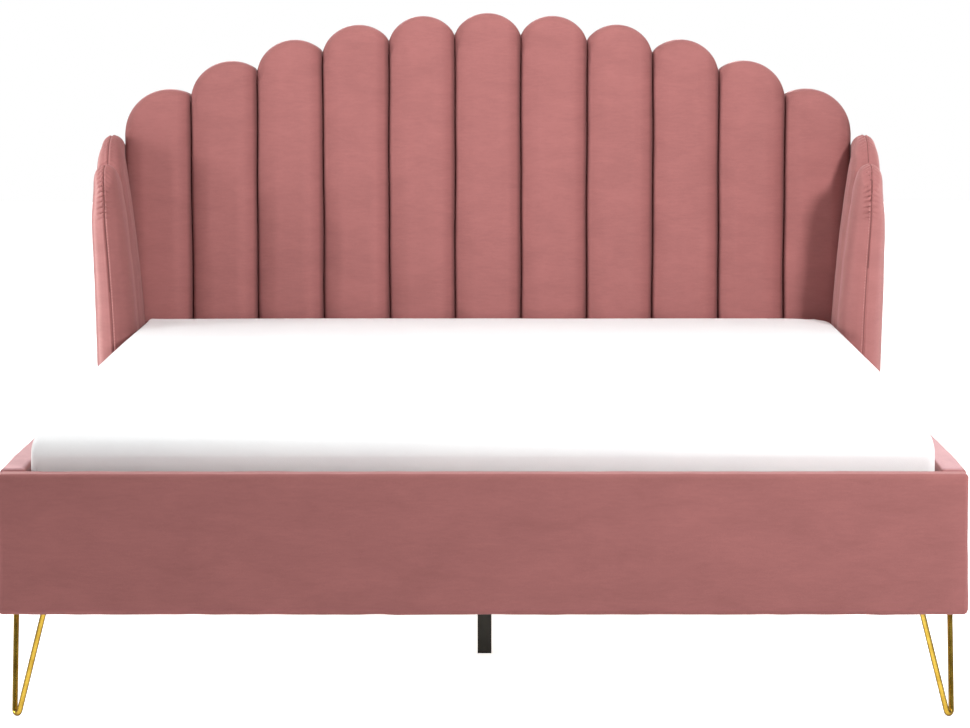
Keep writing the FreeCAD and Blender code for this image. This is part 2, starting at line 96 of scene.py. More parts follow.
NOSE_DEPTH = 0.085              # the rounded front of a wing
FINGER_FALLS = {"front": (0.062, 0.040), "rear": (0.070, 0.050)}    # crest to front and rear ends
FINGER_HEM = 0.010              # rounding of a finger's lower edge
FINGER_GROOVE = 0.010           # rounding where two fingers of a wing meet, near their tops
GROOVE_CLOSED = 0.001           # and lower down, where they press together
GROOVE_OPENS = (0.66, 0.80)     # heights over which it opens
REAR_ROUND = 0.012              # rounding of a wing's rear edges
END_TURN = 0.05                 # angle at which a rounded end is closed
THINNEST = 0.001                # half thickness that is left there
BELOW_CREST = 0.030             # a finger's faces reach their full flare this far down
WING_FLARE_START = 0.300        # as in the CAD: upright to here, then an arc outwards
WING_FLARE_RADIUS = 3.700
WING_OUTER_LOW = 0.885
WING_SWELL = {-1: (0.002, 0.005), 1: (0.011, 0.008)}    # stuffing, by side, at bottom and top
BOARD_COVER = 0.001             # padding left over the board where the wing flares past it
FRONT_SHOULDER = 0.010          # the outer face turns in this far below its rounded top
REAR_SHOULDER = 0.003

SEAM_DEPTH = 0.0024             # closing seam round a wing finger
SEAM_START = 0.150              # below the crest, where it begins on the rear finger
CREST_TURN = (0.060, 0.080)     # a finger turns over its top round a point this far in and down
PUCKER_PITCH = 0.0125           # gathers beside the seam, where it goes over the top
PUCKER_DEPTH = 0.0042
PUCKER_REACH = (0.140, 0.105)   # below the crest, where they begin and where they are full
STITCH_PITCH = 0.0065
STITCH_LENGTH = STITCH_PITCH * 0.62
STITCH_OFFSET = 0.0036          # from the closing seam
THREAD_RADIUS = 0.0005

RAIL_ROUND = 0.010
RAIL_CROWN = 0.006              # the padding of a side rail rises this far between its ends
RAIL_RISE = 0.20                # over this length at each end
EDGE_DROP = 0.0035              # the footboard cover hangs this far below its board
CORNER_FOLDS = ((0.50, 0.90, 0.012, 0.0022), (-0.78, -0.90, 0.008, 0.0014))     # x, x, rise, depth

MATTRESS_ROUND = 0.016
MATTRESS_FRONT_FALL = 0.010     # the top sinks this far at the foot end
MATTRESS_FRONT_REACH = 0.420    # starting this far from the front edge
MATTRESS_EDGE = (0.055, 0.042)  # then its edge rolls over: along the bed and down
MATTRESS_CORNER = 0.110         # plan radius of the loose corner at the right of the headboard
MATTRESS_REAR_GAP = 0.0045      # keeps it clear of the swollen headboard as it lifts
MATTRESS_LIFT = 0.008           # the top crowns this far
MATTRESS_BULGE = 0.009          # and its sides swell this far above the rails


# ---------------------------------------------------------------- mesh helpers
def make_piece(name, points, faces):
    """Smooth-shaded mesh object."""
    mesh = bpy.data.meshes.new(name)
    mesh.from_pydata(np.asarray(points, float).tolist(), [], faces)
    mesh.polygons.foreach_set("use_smooth", [True] * len(mesh.polygons))
    piece = bpy.data.objects.new(name, mesh)
    bpy.context.scene.collection.objects.link(piece)
    return piece


def points_of(piece):
    """Vertex places as an array."""
    places = np.empty(len(piece.data.vertices) * 3)
    piece.data.vertices.foreach_get("co", places)
    return places.reshape(-1, 3)


def normals_of(piece):
    """Vertex normals as an array."""
    values = np.empty(len(piece.data.vertices) * 3, np.float32)
    piece.data.vertex_normals.foreach_get("vector", values)
    return values.reshape(-1, 3).astype(float)


def move_points(piece, places):
    piece.data.vertices.foreach_set("co", np.asarray(places, np.float32).ravel())
    piece.data.update()


def push_out(piece, amount):
    """Moves every point along its normal by its own amount."""
    move_points(piece, points_of(piece) + normals_of(piece) * np.asarray(amount)[:, None])


def loft(sections, bridged=True):
    """Points and faces of a skin over closed loops, all with the same number of points.

    Each end is closed by strips across the loop, from its first points to its last, or by one face.
    """
    count, size = sections.shape[:2]
    faces = []
    for i in range(count - 1):
        for j in range(size):
            k = (j + 1) % size
            faces.append((i * size + j, i * size + k, (i + 1) * size + k, (i + 1) * size + j))
    for first in (0, (count - 1) * size):
        if not bridged:
            faces.append(tuple(range(first, first + size)))
            continue
        for j in range((size - 1) // 2):
            face = (first + j, first + j + 1, first + size - 2 - j, first + size - 1 - j)
            faces.append(tuple(dict.fromkeys(face)))
    return sections.reshape(-1, 3), faces


def grid_faces(rows, columns):
    """Quads over a grid of points that are numbered row after row."""
    return [(i * columns + j, (i + 1) * columns + j, (i + 1) * columns + j + 1, i * columns + j + 1)
            for i in range(rows - 1) for j in range(columns - 1)]


def face_outwards(piece):
    """Turns every face of a closed piece to look outwards."""
    mesh = bmesh.new()
    mesh.from_mesh(piece.data)
    bmesh.ops.recalc_face_normals(mesh, faces=mesh.faces)
    mesh.to_mesh(piece.data)
    mesh.free()


def edge_steps(radius, count=6):
    """Offsets from an edge that turn a quarter round in even angles once they are rounded."""
    angles = np.linspace(0, math.pi / 4, count + 1)
    return radius * (1 - np.tan(angles[::-1]))


def box_axis(low, high, radius, step):
    """Grid places along one side of a rounded box, closer together in its rounded ends."""
    ends = edge_steps(radius)
    middle_count = max(2, round((high - low - 2 * radius) / step))
    middle = np.linspace(low + radius, high - radius, middle_count + 1)
    return np.concatenate([low + ends[:-1], middle, high - ends[:-1][::-1]])


def rounded_box(name, low, high, radius, step):
    """Closed box of even quads with every edge rounded."""
    low, high = np.array(low, float), np.array(high, float)
    axes = [box_axis(low[i], high[i], radius, step) for i in range(3)]
    numbers = {}
    points = []
    faces = []

    def number(place):
        if place not in numbers:
            numbers[place] = len(points)
            points.append([axes[i][place[i]] for i in range(3)])
        return numbers[place]

    for axis in range(3):
        u, v = [i for i in range(3) if i != axis]
        for end in (0, len(axes[axis]) - 1):
            for i in range(len(axes[u]) - 1):
                for j in range(len(axes[v]) - 1):
                    corners = []
                    for du, dv in ((0, 0), (1, 0), (1, 1), (0, 1)):
                        place = [0, 0, 0]
                        place[axis], place[u], place[v] = end, i + du, j + dv
                        corners.append(number(tuple(place)))
                    faces.append(tuple(corners))
    places = np.array(points)
    inner = np.clip(places, low + radius, high - radius)
    away = places - inner
    length = np.maximum(np.linalg.norm(away, axis=1, keepdims=True), 1e-9)
    piece = make_piece(name, inner + away / length * radius, faces)
    face_outwards(piece)
    return piece


def subdivide(piece):
    """Bakes one level of a subdivision surface into the mesh."""
    modifier = piece.modifiers.new("Subdivision", "SUBSURF")
    modifier.levels = modifier.render_levels = 1
    bake_modifiers(piece)


def bake_modifiers(piece):
    """Replaces the mesh by what its modifiers make of it."""
    graph = bpy.context.evaluated_depsgraph_get()
    mesh = bpy.data.meshes.new_from_object(piece.evaluated_get(graph))
    piece.modifiers.clear()
    old = piece.data
    piece.data = mesh
    mesh.name = piece.name
    bpy.data.meshes.remove(old)


def relax(piece, share, rounds):
    """Evens out the surface. share says how much each point may move."""
    edges = np.empty(len(piece.data.edges) * 2, np.int32)
    piece.data.edges.foreach_get("vertices", edges)
    first, second = edges.reshape(-1, 2).T
    places = points_of(piece)
    neighbours = np.maximum(np.bincount(edges, minlength=len(places)), 1)[:, None]
    for _ in range(rounds):
        total = np.zeros_like(places)
        np.add.at(total, first, places[second])
        np.add.at(total, second, places[first])
        places += (total / neighbours - places) * 0.5 * share[:, None]
    move_points(piece, places)


def lattice_values(cells, seed):
    """Even pseudo-random number from -1 to 1 for each lattice cell."""
    mask = 0xFFFFFFFF
    mixed = (cells @ np.array([73856093, 19349663, 83492791]) + seed * 668265263) & mask
    mixed = ((mixed ^ (mixed >> 15)) * 2246822519) & mask
    mixed = ((mixed ^ (mixed >> 13)) * 3266489917) & mask
    return (mixed ^ (mixed >> 16)) / mask * 2 - 1


def ripple(places, size, seed):
    """Smooth noise from about -1 to 1, with bumps of a given size; size may differ by axis."""
    scaled = places / np.asarray(size) + seed * 0.37
    cells = np.floor(scaled).astype(np.int64)
    part = scaled - cells
    blend = part**3 * (part * (part * 6 - 15) + 10)
    total = np.zeros(len(places))
    for corner in np.ndindex(2, 2, 2):
        corner = np.array(corner)
        away = part - corner
        slopes = [lattice_values(cells + corner, seed * 3 + axis) for axis in range(3)]
        weight = np.where(corner, blend, 1 - blend).prod(axis=1)
        total += weight * sum(slopes[axis] * away[:, axis] for axis in range(3))
    return total * 1.7


def layers(places, *ripples):
    """Sum of ripples. Each is (height, size, seed)."""
    return sum(height * ripple(places, size, seed) for height, size, seed in ripples)


def bump(distance, width):
    """1 on a line, falling smoothly to 0 away from it."""
    return np.exp(-(np.asarray(distance) / width) ** 2)


def fade(value, start, end):
    """0 before start, 1 after end, smooth between."""
    share = np.clip((value - start) / (end - start), 0, 1)
    return share * share * (3 - 2 * share)


def inflate(piece, held, cap, pressure=4.0, frames=20):
    """Swells a padded piece as foam swells its cover. held marks the points that are sewn down."""
    start = points_of(piece)
    group = piece.vertex_groups.new(name="held")
    group.add(np.flatnonzero(held).tolist(), 1.0, "REPLACE")
    cloth = piece.modifiers.new("Cloth", "CLOTH")
    cloth.settings.use_pressure = True
    cloth.settings.uniform_pressure_force = pressure
    cloth.settings.vertex_group_mass = "held"
    cloth.settings.effector_weights.gravity = 0
    cloth.settings.quality = 3
    cloth.point_cache.frame_start = 1
    cloth.point_cache.frame_end = frames
    scene = bpy.context.scene
    for frame_number in range(1, frames + 1):
        scene.frame_set(frame_number)
    graph = bpy.context.evaluated_depsgraph_get()
    swollen = piece.evaluated_get(graph)
    places = np.empty(len(swollen.data.vertices) * 3)
    swollen.data.vertices.foreach_get("co", places)
    moved = places.reshape(-1, 3) - start
    piece.modifiers.clear()
    piece.vertex_groups.clear()
    scene.frame_set(1)
    length = np.maximum(np.linalg.norm(moved, axis=1, keepdims=True), 1e-9)
    move_points(piece, start + moved * np.minimum(1, cap / length))


# ---------------------------------------------------------------- material helpers
class Nodes:
    """The node tree of a material or of the world. Most methods add a node and return its output."""

    def __init__(self, owner):
        owner.use_nodes = True
        self.owner = owner
        self.tree = owner.node_tree
        self.tree.nodes.clear()

    def add(self, kind, values=()):
        """New node. values sets its inputs by name, to a constant or to another node's output."""
        node = self.tree.nodes.new("ShaderNode" + kind)
        for name, value in dict(values).items():
            if isinstance(value, bpy.types.NodeSocket):
                self.tree.links.new(value, node.inputs[name])
            else:
                node.inputs[name].default_value = value
        return node

    def place(self, stretch=(1, 1, 1)):
        """Object coordinates in metres, stretched by axis."""
        coordinates = self.add("TexCoord").outputs["Object"]
        return self.add("Mapping", {"Scale": stretch, "Vector": coordinates}).outputs["Vector"]

    def facing(self, axis):
        """How far the surface faces along one of the object's axes, from -1 to 1."""
        normal = self.add("TexCoord").outputs["Normal"]
        return self.add("SeparateXYZ", {"Vector": normal}).outputs[axis]

    def camera_rays(self):
        """1 for what the camera sees straight on, 0 for light that bounces."""
        return self.add("LightPath").outputs["Is Camera Ray"]

    def noise(self, scale, detail=3.0, roughness=0.5, distortion=0.0, stretch=(1, 1, 1)):
        return self.add("TexNoise", {
            "Scale": scale, "Detail": detail, "Roughness": roughness, "Distortion": distortion,
            "Vector": self.place(stretch)}).outputs["Fac"]

    def ramp(self, value, *stops):
        """Colour ramp. Each stop is (place, colour)."""
        ramp = self.add("ValToRGB", {"Fac": value})
        elements = ramp.color_ramp.elements
        while len(elements) < len(stops):
            elements.new(0.5)
        for element, (place, colour) in zip(elements, stops):
            element.position = place
            element.color = (*colour, 1)
        return ramp.outputs["Color"]

    def spread(self, value, low, high, from_low=0.0, from_high=1.0):
        """Maps a value from one range to another."""
        return self.add("MapRange", {
            "From Min": from_low, "From Max": from_high, "To Min": low, "To Max": high,
            "Value": value}).outputs["Result"]

    def multiply(self, first, second, share=1.0):
        """Multiplies two colours."""
        node = self.add("Mix")
        node.data_type = "RGBA"
        node.blend_type = "MULTIPLY"
        node.inputs[0].default_value = share
        self.tree.links.new(first, node.inputs[6])
        self.tree.links.new(second, node.inputs[7])
        return node.outputs[2]

    def finish(self, colour, roughness, bumps=(), values=()):
        """Adds the shader and returns the material. Each bump is (height output, distance in metres)."""
        inputs = {"Base Color": colour, "Roughness": roughness, **dict(values)}
        for height, distance in bumps:
            bump = {"Strength": 1.0, "Distance": distance, "Height": height}
            if "Normal" in inputs:
                bump["Normal"] = inputs["Normal"]
            inputs["Normal"] = self.add("Bump", bump).outputs["Normal"]
        shader = self.add("BsdfPrincipled", inputs)
        self.add("OutputMaterial", {"Surface": shader.outputs["BSDF"]})
        return self.owner


def new_material(name):
    return Nodes(bpy.data.materials.new(name))


def shade(colour, amount):
    return tuple(part * amount for part in colour)


# ---------------------------------------------------------------- materials
VELVET = (0.350, 0.136, 0.131)
WHITE = (1.0, 1.0, 1.0)
# painted light and shade round a wing, as tones from the face towards -X, over its front, to the face
# towards +X
WING_TURNS = (0.0, 0.06, 0.20, 0.50, 0.80, 0.94, 1.0)
LEFT_WING_PAINTED_LIGHT = (1.10, 1.95, 1.45, 1.08, 0.84, 0.76, 0.76)
RIGHT_WING_PAINTED_LIGHT = (1.22, 1.26, 1.12, 1.08, 1.20, 1.40, 1.05)
PAINTED_SHEEN_PALENESS = 0.35                 # how much of its colour the velvet loses where painted light brightens it: a painted sheen


def velvet_material(name, tone=1.0, painted_shading=None, sheen=0.6):
    """Short-nap velvet: brushed patches of nap, fine fibres and a pale sheen.

    tone darkens a whole piece as painted shade, as for the footboard's darker copy. A further function,
    when given, makes a colour of painted light and shade that multiplies the velvet's.
    """
    nodes = new_material(name)
    velvet = shade(VELVET, tone)
    patches = nodes.noise(1.0, 4.0, 0.55, 0.6, (9, 9, 22))
    strokes = nodes.noise(1.0, 3.0, 0.6, 0.3, (40, 40, 210))
    fibres = nodes.noise(1500.0, 2.0, 0.7)
    colour = nodes.ramp(patches, (0.30, shade(velvet, 0.93)), (0.52, velvet), (0.75, shade(velvet, 1.07)))
    colour = nodes.multiply(colour, nodes.ramp(strokes, (0.30, shade(WHITE, 0.93)), (0.70, WHITE)))
    colour = nodes.multiply(colour, nodes.ramp(fibres, (0.30, (0.80, 0.79, 0.79)), (0.68, WHITE)))
    if painted_shading:
        colour = nodes.multiply(colour, painted_shading(nodes))
    return nodes.finish(
        colour, nodes.spread(patches, 0.78, 0.95),
        [(patches, 0.0003), (strokes, 0.00012), (fibres, 0.00012)],
        {"Specular IOR Level": 0.10, "Sheen Weight": sheen, "Sheen Roughness": 0.30,
         "Sheen Tint": (1.0, 0.66, 0.65, 1)})


def channel_painted_shade(nodes):
    """Painted light and shade across each channel: a painted highlight at its left edge and painted shade
    into the seam at its right.
    """
    across = nodes.add("SeparateXYZ", {"Vector": nodes.place()}).outputs["X"]
    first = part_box("headboard_channel_01")[0].x
    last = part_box(f"headboard_channel_{CHANNEL_COUNT}")[1].x
    share = nodes.add("Math")
    share.operation = "FRACT"
    number = nodes.spread(across, 0.0, float(CHANNEL_COUNT), first, last)
    nodes.tree.links.new(number, share.inputs[0])
    return nodes.ramp(
        share.outputs["Value"],
        (0.0, (0.95, 0.93, 0.93)), (0.03, (1.10, 1.12, 1.12)), (0.09, WHITE), (0.80, WHITE),
        (0.93, (0.84, 0.82, 0.82)), (0.985, (0.52, 0.50, 0.50)))


def rail_painted_sheen(nodes):
    """Painted sheen: the top of a side rail is painted paler, as if it caught the light."""
    return nodes.ramp(
        nodes.facing("Z"), (0.0, shade(WHITE, 0.95)), (0.55, WHITE), (0.95, (1.60, 2.45, 2.65)))


def wing_painted_light(tones):
    """Painted light and shade round a wing: its tone turns with the way the surface faces."""
    def painted_shading(nodes):
        stops = []
        for turn, tone in zip(WING_TURNS, tones):
            pale = tone * (1 + PAINTED_SHEEN_PALENESS * max(0.0, tone - 1))
            stops.append((turn, (tone, pale, pale)))
        return nodes.ramp(nodes.spread(nodes.facing("X"), 0.0, 1.0, -1.0, 1.0), *stops)
    return painted_shading


def painted_crease_shade_material():
    """Painted shade: darker velvet without sheen for the bottom of a seam, where little light gets in."""
    nodes = new_material("velvet_seam_shade")
    fibres = nodes.noise(900.0, 3.0, 0.7)
    colour = nodes.ramp(fibres, (0.3, shade(VELVET, 0.42)), (0.7, shade(VELVET, 0.62)))
    return nodes.finish(
        colour, nodes.spread(fibres, 0.9, 1.0), [(fibres, 0.0002)], {"Specular IOR Level": 0.0})


def thread_material():
    """Twisted sewing thread, a little paler than the velvet."""
    nodes = new_material("velvet_thread")
    twist = nodes.add("TexWave", {"Scale": 500.0, "Distortion": 2.0, "Vector": nodes.place((1, 1, 1.6))})
    twist = twist.outputs["Fac"]
    colour = nodes.ramp(twist, (0.0, (0.42, 0.19, 0.18)), (1.0, (0.68, 0.38, 0.36)))
    return nodes.finish(colour, nodes.spread(twist, 0.45, 0.7), [(twist, 0.0002)])


def mattress_material():
    """White knitted mattress cover."""
    nodes = new_material("mattress_knit")
    knit = nodes.add("TexWave", {"Scale": 260.0, "Distortion": 5.0, "Detail": 2.0, "Vector": nodes.place()})
    knit.wave_type = "BANDS"
    knit.bands_direction = "DIAGONAL"
    loops = knit.outputs["Fac"]
    cloud = nodes.noise(7.0, 3.0)
    fuzz = nodes.noise(900.0, 2.0, 0.6)
    colour = nodes.multiply(
        nodes.ramp(cloud, (0.3, (0.80, 0.80, 0.805)), (0.7, (0.83, 0.83, 0.83))),
        nodes.ramp(loops, (0.0, (0.955, 0.955, 0.96)), (0.6, WHITE)))
    return nodes.finish(
        colour, nodes.spread(fuzz, 0.8, 0.95), [(loops, 0.00025), (fuzz, 0.00012)],
        {"Specular IOR Level": 0.15, "Sheen Weight": 0.15, "Sheen Roughness": 0.5})


def foam_material():
    """Open-cell foam."""
    nodes = new_material("mattress_foam")
    cells = nodes.add("TexVoronoi", {"Scale": 700.0, "Vector": nodes.place()}).outputs["Distance"]
    colour = nodes.ramp(cells, (0.0, (0.55, 0.50, 0.36)), (0.5, (0.86, 0.82, 0.68)))
    return nodes.finish(colour, nodes.spread(cells, 0.95, 0.8), [(cells, 0.0006)])


def wood_material(name, along, dark, light, knots=0.35, rough=0.6):
    """Sawn timber with its grain along one axis (0, 1 or 2)."""
    nodes = new_material(name)
    slow = [1.0, 1.0, 1.0]
    slow[along] = 0.06
    fine = [260.0, 260.0, 260.0]
    fine[along] = 9.0
    growth = nodes.add("TexWave", {
        "Scale": 26.0, "Distortion": 7.0, "Detail": 3.0, "Detail Scale": 1.2, "Vector": nodes.place(slow)})
    growth.wave_type = "RINGS"
    growth.rings_direction = "XYZ"[along]
    rings = growth.outputs["Fac"]
    pores = nodes.noise(1.0, 4.0, 0.65, stretch=fine)
    patches = nodes.noise(9.0, 3.0, stretch=slow)
    colour = nodes.ramp(rings, (0.15, dark), (0.85, light))
    colour = nodes.multiply(colour, nodes.ramp(pores, (0.30, (0.72, 0.66, 0.60)), (0.52, WHITE)), 0.8)
    knotty = shade((1, 0.93, 0.84), 1 - knots / 3)
    colour = nodes.multiply(colour, nodes.ramp(patches, (0.30, knotty), (0.65, WHITE)))
    return nodes.finish(
        colour, nodes.spread(pores, rough + 0.12, rough - 0.08), [(rings, 0.00015), (pores, 0.00025)])


def gold_material():
    """Polished brass-coloured plating, lightly worn, with a painted dark reflection towards a rod's edges.
    """
    nodes = new_material("gold_metal")
    smears = nodes.noise(38.0, 4.0, 0.6, 0.4)
    scratches = nodes.noise(1.0, 2.0, 0.7, stretch=(900, 900, 60))
    # painted dark reflection: the colour darkens as the rod turns away from the view
    painted_edge_darkening = nodes.add("LayerWeight", {"Blend": 0.5}).outputs["Facing"]
    colour = nodes.multiply(
        nodes.ramp(
            smears, (0.25, (0.50, 0.30, 0.04)), (0.55, (0.70, 0.47, 0.07)), (0.85, (0.80, 0.58, 0.12))),
        nodes.ramp(painted_edge_darkening, (0.14, WHITE), (0.48, (0.22, 0.17, 0.10))))
    return nodes.finish(
        colour, nodes.spread(smears, 0.14, 0.30), [(scratches, 0.00002), (smears, 0.00008)],
        {"Metallic": 1.0})


def powder_coat_material():
    """Black powder-coated steel, rubbed grey in places."""
    nodes = new_material("black_steel")
    grain = nodes.noise(1100.0, 2.0, 0.6)
    rubs = nodes.noise(30.0, 5.0, 0.7, stretch=(1, 1, 0.4))
    colour = nodes.ramp(rubs, (0.35, (0.018, 0.020, 0.017)), (0.72, (0.045, 0.047, 0.043)))
    return nodes.finish(colour, nodes.spread(rubs, 0.42, 0.6), [(grain, 0.00012)])


def plastic_material():
    """Moulded black plastic with a fine spark-eroded grain."""
    nodes = new_material("black_plastic")
    grain = nodes.noise(1600.0, 3.0, 0.6)
    scuffs = nodes.noise(45.0, 4.0, 0.7)
    colour = nodes.ramp(scuffs, (0.4, (0.014, 0.014, 0.014)), (0.75, (0.032, 0.031, 0.030)))
    return nodes.finish(colour, nodes.spread(scuffs, 0.5, 0.72), [(grain, 0.0001)])


def zinc_material():
    """Zinc-plated steel with its spangle."""
    nodes = new_material("zinc_steel")
    spangle = nodes.add("TexVoronoi", {"Scale": 260.0, "Vector": nodes.place()}).outputs["Color"]
    haze = nodes.noise(60.0, 4.0, 0.6)
    colour = nodes.ramp(spangle, (0.1, (0.50, 0.50, 0.49)), (0.9, (0.66, 0.66, 0.65)))
    return nodes.finish(colour, nodes.spread(haze, 0.28, 0.5), [(haze, 0.00006)], {"Metallic": 1.0})


# the channel, wing and rail velvets and the seam shade carry painted light and shade; velvet_footboard is a
# darker copy of the velvet, as painted shade
materials = {
    "velvet": velvet_material("velvet"),
    "channel": velvet_material("velvet_channel", painted_shading=channel_painted_shade),
    "wing_left": velvet_material("velvet_wing_left", painted_shading=wing_painted_light(LEFT_WING_PAINTED_LIGHT), sheen=0.25),
    "wing_right": velvet_material("velvet_wing_right", painted_shading=wing_painted_light(RIGHT_WING_PAINTED_LIGHT)),
    "footboard": velvet_material("velvet_footboard", 0.93),
    "rail": velvet_material("velvet_rail", painted_shading=rail_painted_sheen),
    "seam_shade": painted_crease_shade_material(),
    "thread": thread_material(),
    "mattress": mattress_material(),
    "foam": foam_material(),
    "gold": gold_material(),
    "steel": powder_coat_material(),
    "plastic": plastic_material(),
    "zinc": zinc_material(),
}
PINE = ((0.50, 0.31, 0.15), (0.76, 0.56, 0.33))
BIRCH = ((0.60, 0.44, 0.26), (0.80, 0.66, 0.46))
WOODS = (("timber", "xyz", PINE, 0.35, 0.6), ("birch", "xz", BIRCH, 0.15, 0.5))
for kind, axes, tones, knots, rough in WOODS:
    for axis in axes:
        name = f"{kind}_{axis}"
        materials[name] = wood_material(name, "xyz".index(axis), *tones, knots, rough)


def cad_material(name):
    """Material of a CAD node that stays visible."""
    rules = (
        (("hairpin_leg",), "gold"),
        (("centre_leg_feet",), "plastic"),
        (("centre_leg",), "steel"),
        (("corner_bolts", "rail_joint", "wing_bolts", "leg_screws", "slat_screws", "beam_hangers"), "zinc"),
        (("slat_ledge", "side_rail_board", "centre_beam"), "timber_y"),
        (("slat_",), "birch_x"),
        (("headboard_board", "wing_board"), "birch_z"),
        (("headboard_back_frame",), "timber_z"),
        (("mattress_core",), "foam"),
    )
    for starts, material in rules:
        if name.startswith(starts):
            return materials[material]
    return materials["timber_x"]


def dress_cad_nodes():
    for name, node in cad_nodes.items():
        node.data.materials.clear()
        node.data.materials.append(cad_material(name))


def give_seam_shade(piece, inside, material):
    """Gives a piece its velvet, and the painted seam shade on faces whose points are all inside a seam."""
    piece.data.materials.append(materials[material])
    piece.data.materials.append(materials["seam_shade"])
    numbers = [int(all(inside[point] for point in face.vertices)) for face in piece.data.polygons]
    piece.data.polygons.foreach_set("material_index", numbers)


def finish_soft(piece, body, replaced):
    """Attaches a padded piece to its body, giving it its place in the frame, and hides the imported parts
    it replaces.
    """
    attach(piece, body)
    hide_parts(*replaced)


# ---------------------------------------------------------------- headboard channels
def circle_through(a, b, c):
    """Centre and radius of the circle through three points of a plane."""
    matrix = 2 * np.array([b - a, c - a])
    centre = np.linalg.solve(matrix, np.array([b @ b - a @ a, c @ c - a @ a]))
    return centre, float(np.linalg.norm(a - centre))


def channel_outline(name):
    """A channel's box and the circle of its rounded top: (low, high, centre, radius)."""
    low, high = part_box(name)
    places = points_of(cad_nodes[name])
    middle_x = (low.x + high.x) / 2
    top = places[places[:, 2] > (low.z + high.z) / 2][:, [0, 2]]
    left = top[top[:, 0] < low.x + SAME_PLACE]
    right = top[top[:, 0] > high.x - SAME_PLACE]
    corner_left = left[left[:, 1].argmax()]
    corner_right = right[right[:, 1].argmax()]
    middle = top[np.abs(top[:, 0] - middle_x).argmin()]
    crest = top[top[:, 1].argmax()] if abs(middle[0] - middle_x) > 0.01 else middle
    centre, radius = circle_through(corner_left, crest, corner_right)
    low.x -= CHANNEL_GAP
    high.x += CHANNEL_GAP
    return low, high, centre, radius


OUTLINES = [channel_outline(f"headboard_channel_{n:02d}") for n in range(1, CHANNEL_COUNT + 1)]


def arc_height(outline, x):
    """Height of one channel's rounded top at a place across it."""
    centre, radius = outline[2:]
    return centre[1] + math.sqrt(max(radius**2 - (x - centre[0]) ** 2, 0))


def seam_top(number):
    """Height at which a seam, and the painted shade in it, ends: between two channels, or beside a wing at
    either end.
    """
    if number in (0, CHANNEL_COUNT):
        return REAR_TOP - WING_SEAM_END
    joint = OUTLINES[number - 1][1].x - CHANNEL_GAP
    return min(arc_height(OUTLINES[number - 1], joint), arc_height(OUTLINES[number], joint))


def seam_shift(number, height):
    """How far a seam between channels wanders sideways at a height. Each seam wanders its own way."""
    slow = np.sin(height * 9.1 + number * 2.4) + 0.6 * np.sin(height * 23.0 + number * 5.3)
    return SEAM_WANDER * slow * fade(height, 0.30, 0.50) * (0 < number < CHANNEL_COUNT)


def valley_dip(x, number):
    """How far a channel's top is pulled down beside a neighbour."""
    low, high = OUTLINES[number - 1][:2]
    left = bump(x - low.x, VALLEY_WIDTH) * (number > 1)
    right = bump(high.x - x, VALLEY_WIDTH) * (number < CHANNEL_COUNT)
    return VALLEY_DIP * float(left + right)


def channel_columns(low_x, high_x):
    """Places across a channel, close together where the padding turns into its seams."""
    turns = SEAM_ROUND * (1 - np.cos(np.linspace(0.02, RIGHT_ANGLE, 9)))
    middle = np.linspace(low_x + SEAM_ROUND, high_x - SEAM_ROUND, 16)
    return np.concatenate([low_x + turns[:-1], middle, high_x - turns[:-1][::-1]])


def channel_recess(x, z, outline):
    """How far the front face lies behind its flat middle: it rolls down to the seams and the top."""
    low, high, centre, radius = outline
    side = np.minimum(x - low.x, high.x - x)
    top = radius - np.hypot(x - centre[0], z - centre[1])
    top = np.where(z > centre[1], top, SEAM_ROUND * 2)
    bottom = z - low.z + HEM_ROUNDED
    near = np.minimum(np.minimum(side, top), bottom)
    blended = -CORNER_SOFT * np.log(sum(np.exp(-edge / CORNER_SOFT) for edge in (side, top, bottom)))
    near = np.clip(np.where(near < SEAM_ROUND * 1.5, np.maximum(blended, near * 0.4), near), 0, None)
    rest = np.clip(SEAM_ROUND - near, 0, SEAM_ROUND)
    return SEAM_ROUND - np.sqrt(np.maximum(SEAM_ROUND**2 - rest**2, 0))


def channel_section(x, number):
    """Closed loop at one place across a channel: up its front, over its top and down behind."""
    outline = OUTLINES[number - 1]
    low, high, centre, radius = outline
    back = high.y
    top = arc_height(outline, x) - valley_dip(x, number)
    slope = abs(x - centre[0]) / radius
    reach = SEAM_ROUND / math.sqrt(max(1 - slope**2, 0.2))
    turn = (1 - np.cos(np.linspace(0, RIGHT_ANGLE, 11)))[::-1]
    heights = np.concatenate([np.linspace(low.z, top - reach, CHANNEL_ROWS), top - reach * turn[1:]])
    recess = channel_recess(x, heights, outline)
    recess[-1] = SEAM_ROUND
    front = np.column_stack([np.full(len(heights), x), low.y + recess, heights])
    wall = [(x, y, top) for y in np.linspace(front[-1, 1], back - BACK_ROUND, 5)[1:]]
    wall.append((x, back - BACK_CHAMFER, top - BACK_CHAMFER))
    behind = [(x, back, z) for z in np.linspace(top - BACK_ROUND, low.z, 8)]
    under = [(x, y, low.z) for y in (back - 0.01, (back + front[0, 1]) / 2)]
    return np.vstack([front, wall, behind, under])


def channel_piece(number):
    """One padded channel, lofted across its width."""
    node = f"headboard_channel_{number:02d}"
    low, high = OUTLINES[number - 1][:2]
    sections = np.array([channel_section(x, number) for x in channel_columns(low.x, high.x)])
    piece = make_piece(node + "_velvet", *loft(sections, bridged=False))
    face_outwards(piece)
    give_seam_shade(piece, in_channel_seam_shade(points_of(piece), number), "channel")
    dress_channel(piece, number)
    finish_soft(piece, FRAME_BODY, [node])


def in_channel_seam_shade(places, number):
    """Which points of a channel lie down in the seam beside a neighbour or a wing; faces there get painted
    shade.
    """
    low, high = OUTLINES[number - 1][:2]
    x, y, z = places.T
    on_left = x - low.x < high.x - x
    side = np.minimum(x - low.x, high.x - x)
    covered = np.where(on_left, seam_top(number - 1), seam_top(number))
    return (side < CREASE_WIDTH) & (y > low.y + CREASE_DEPTH) & (z < covered - 0.004)


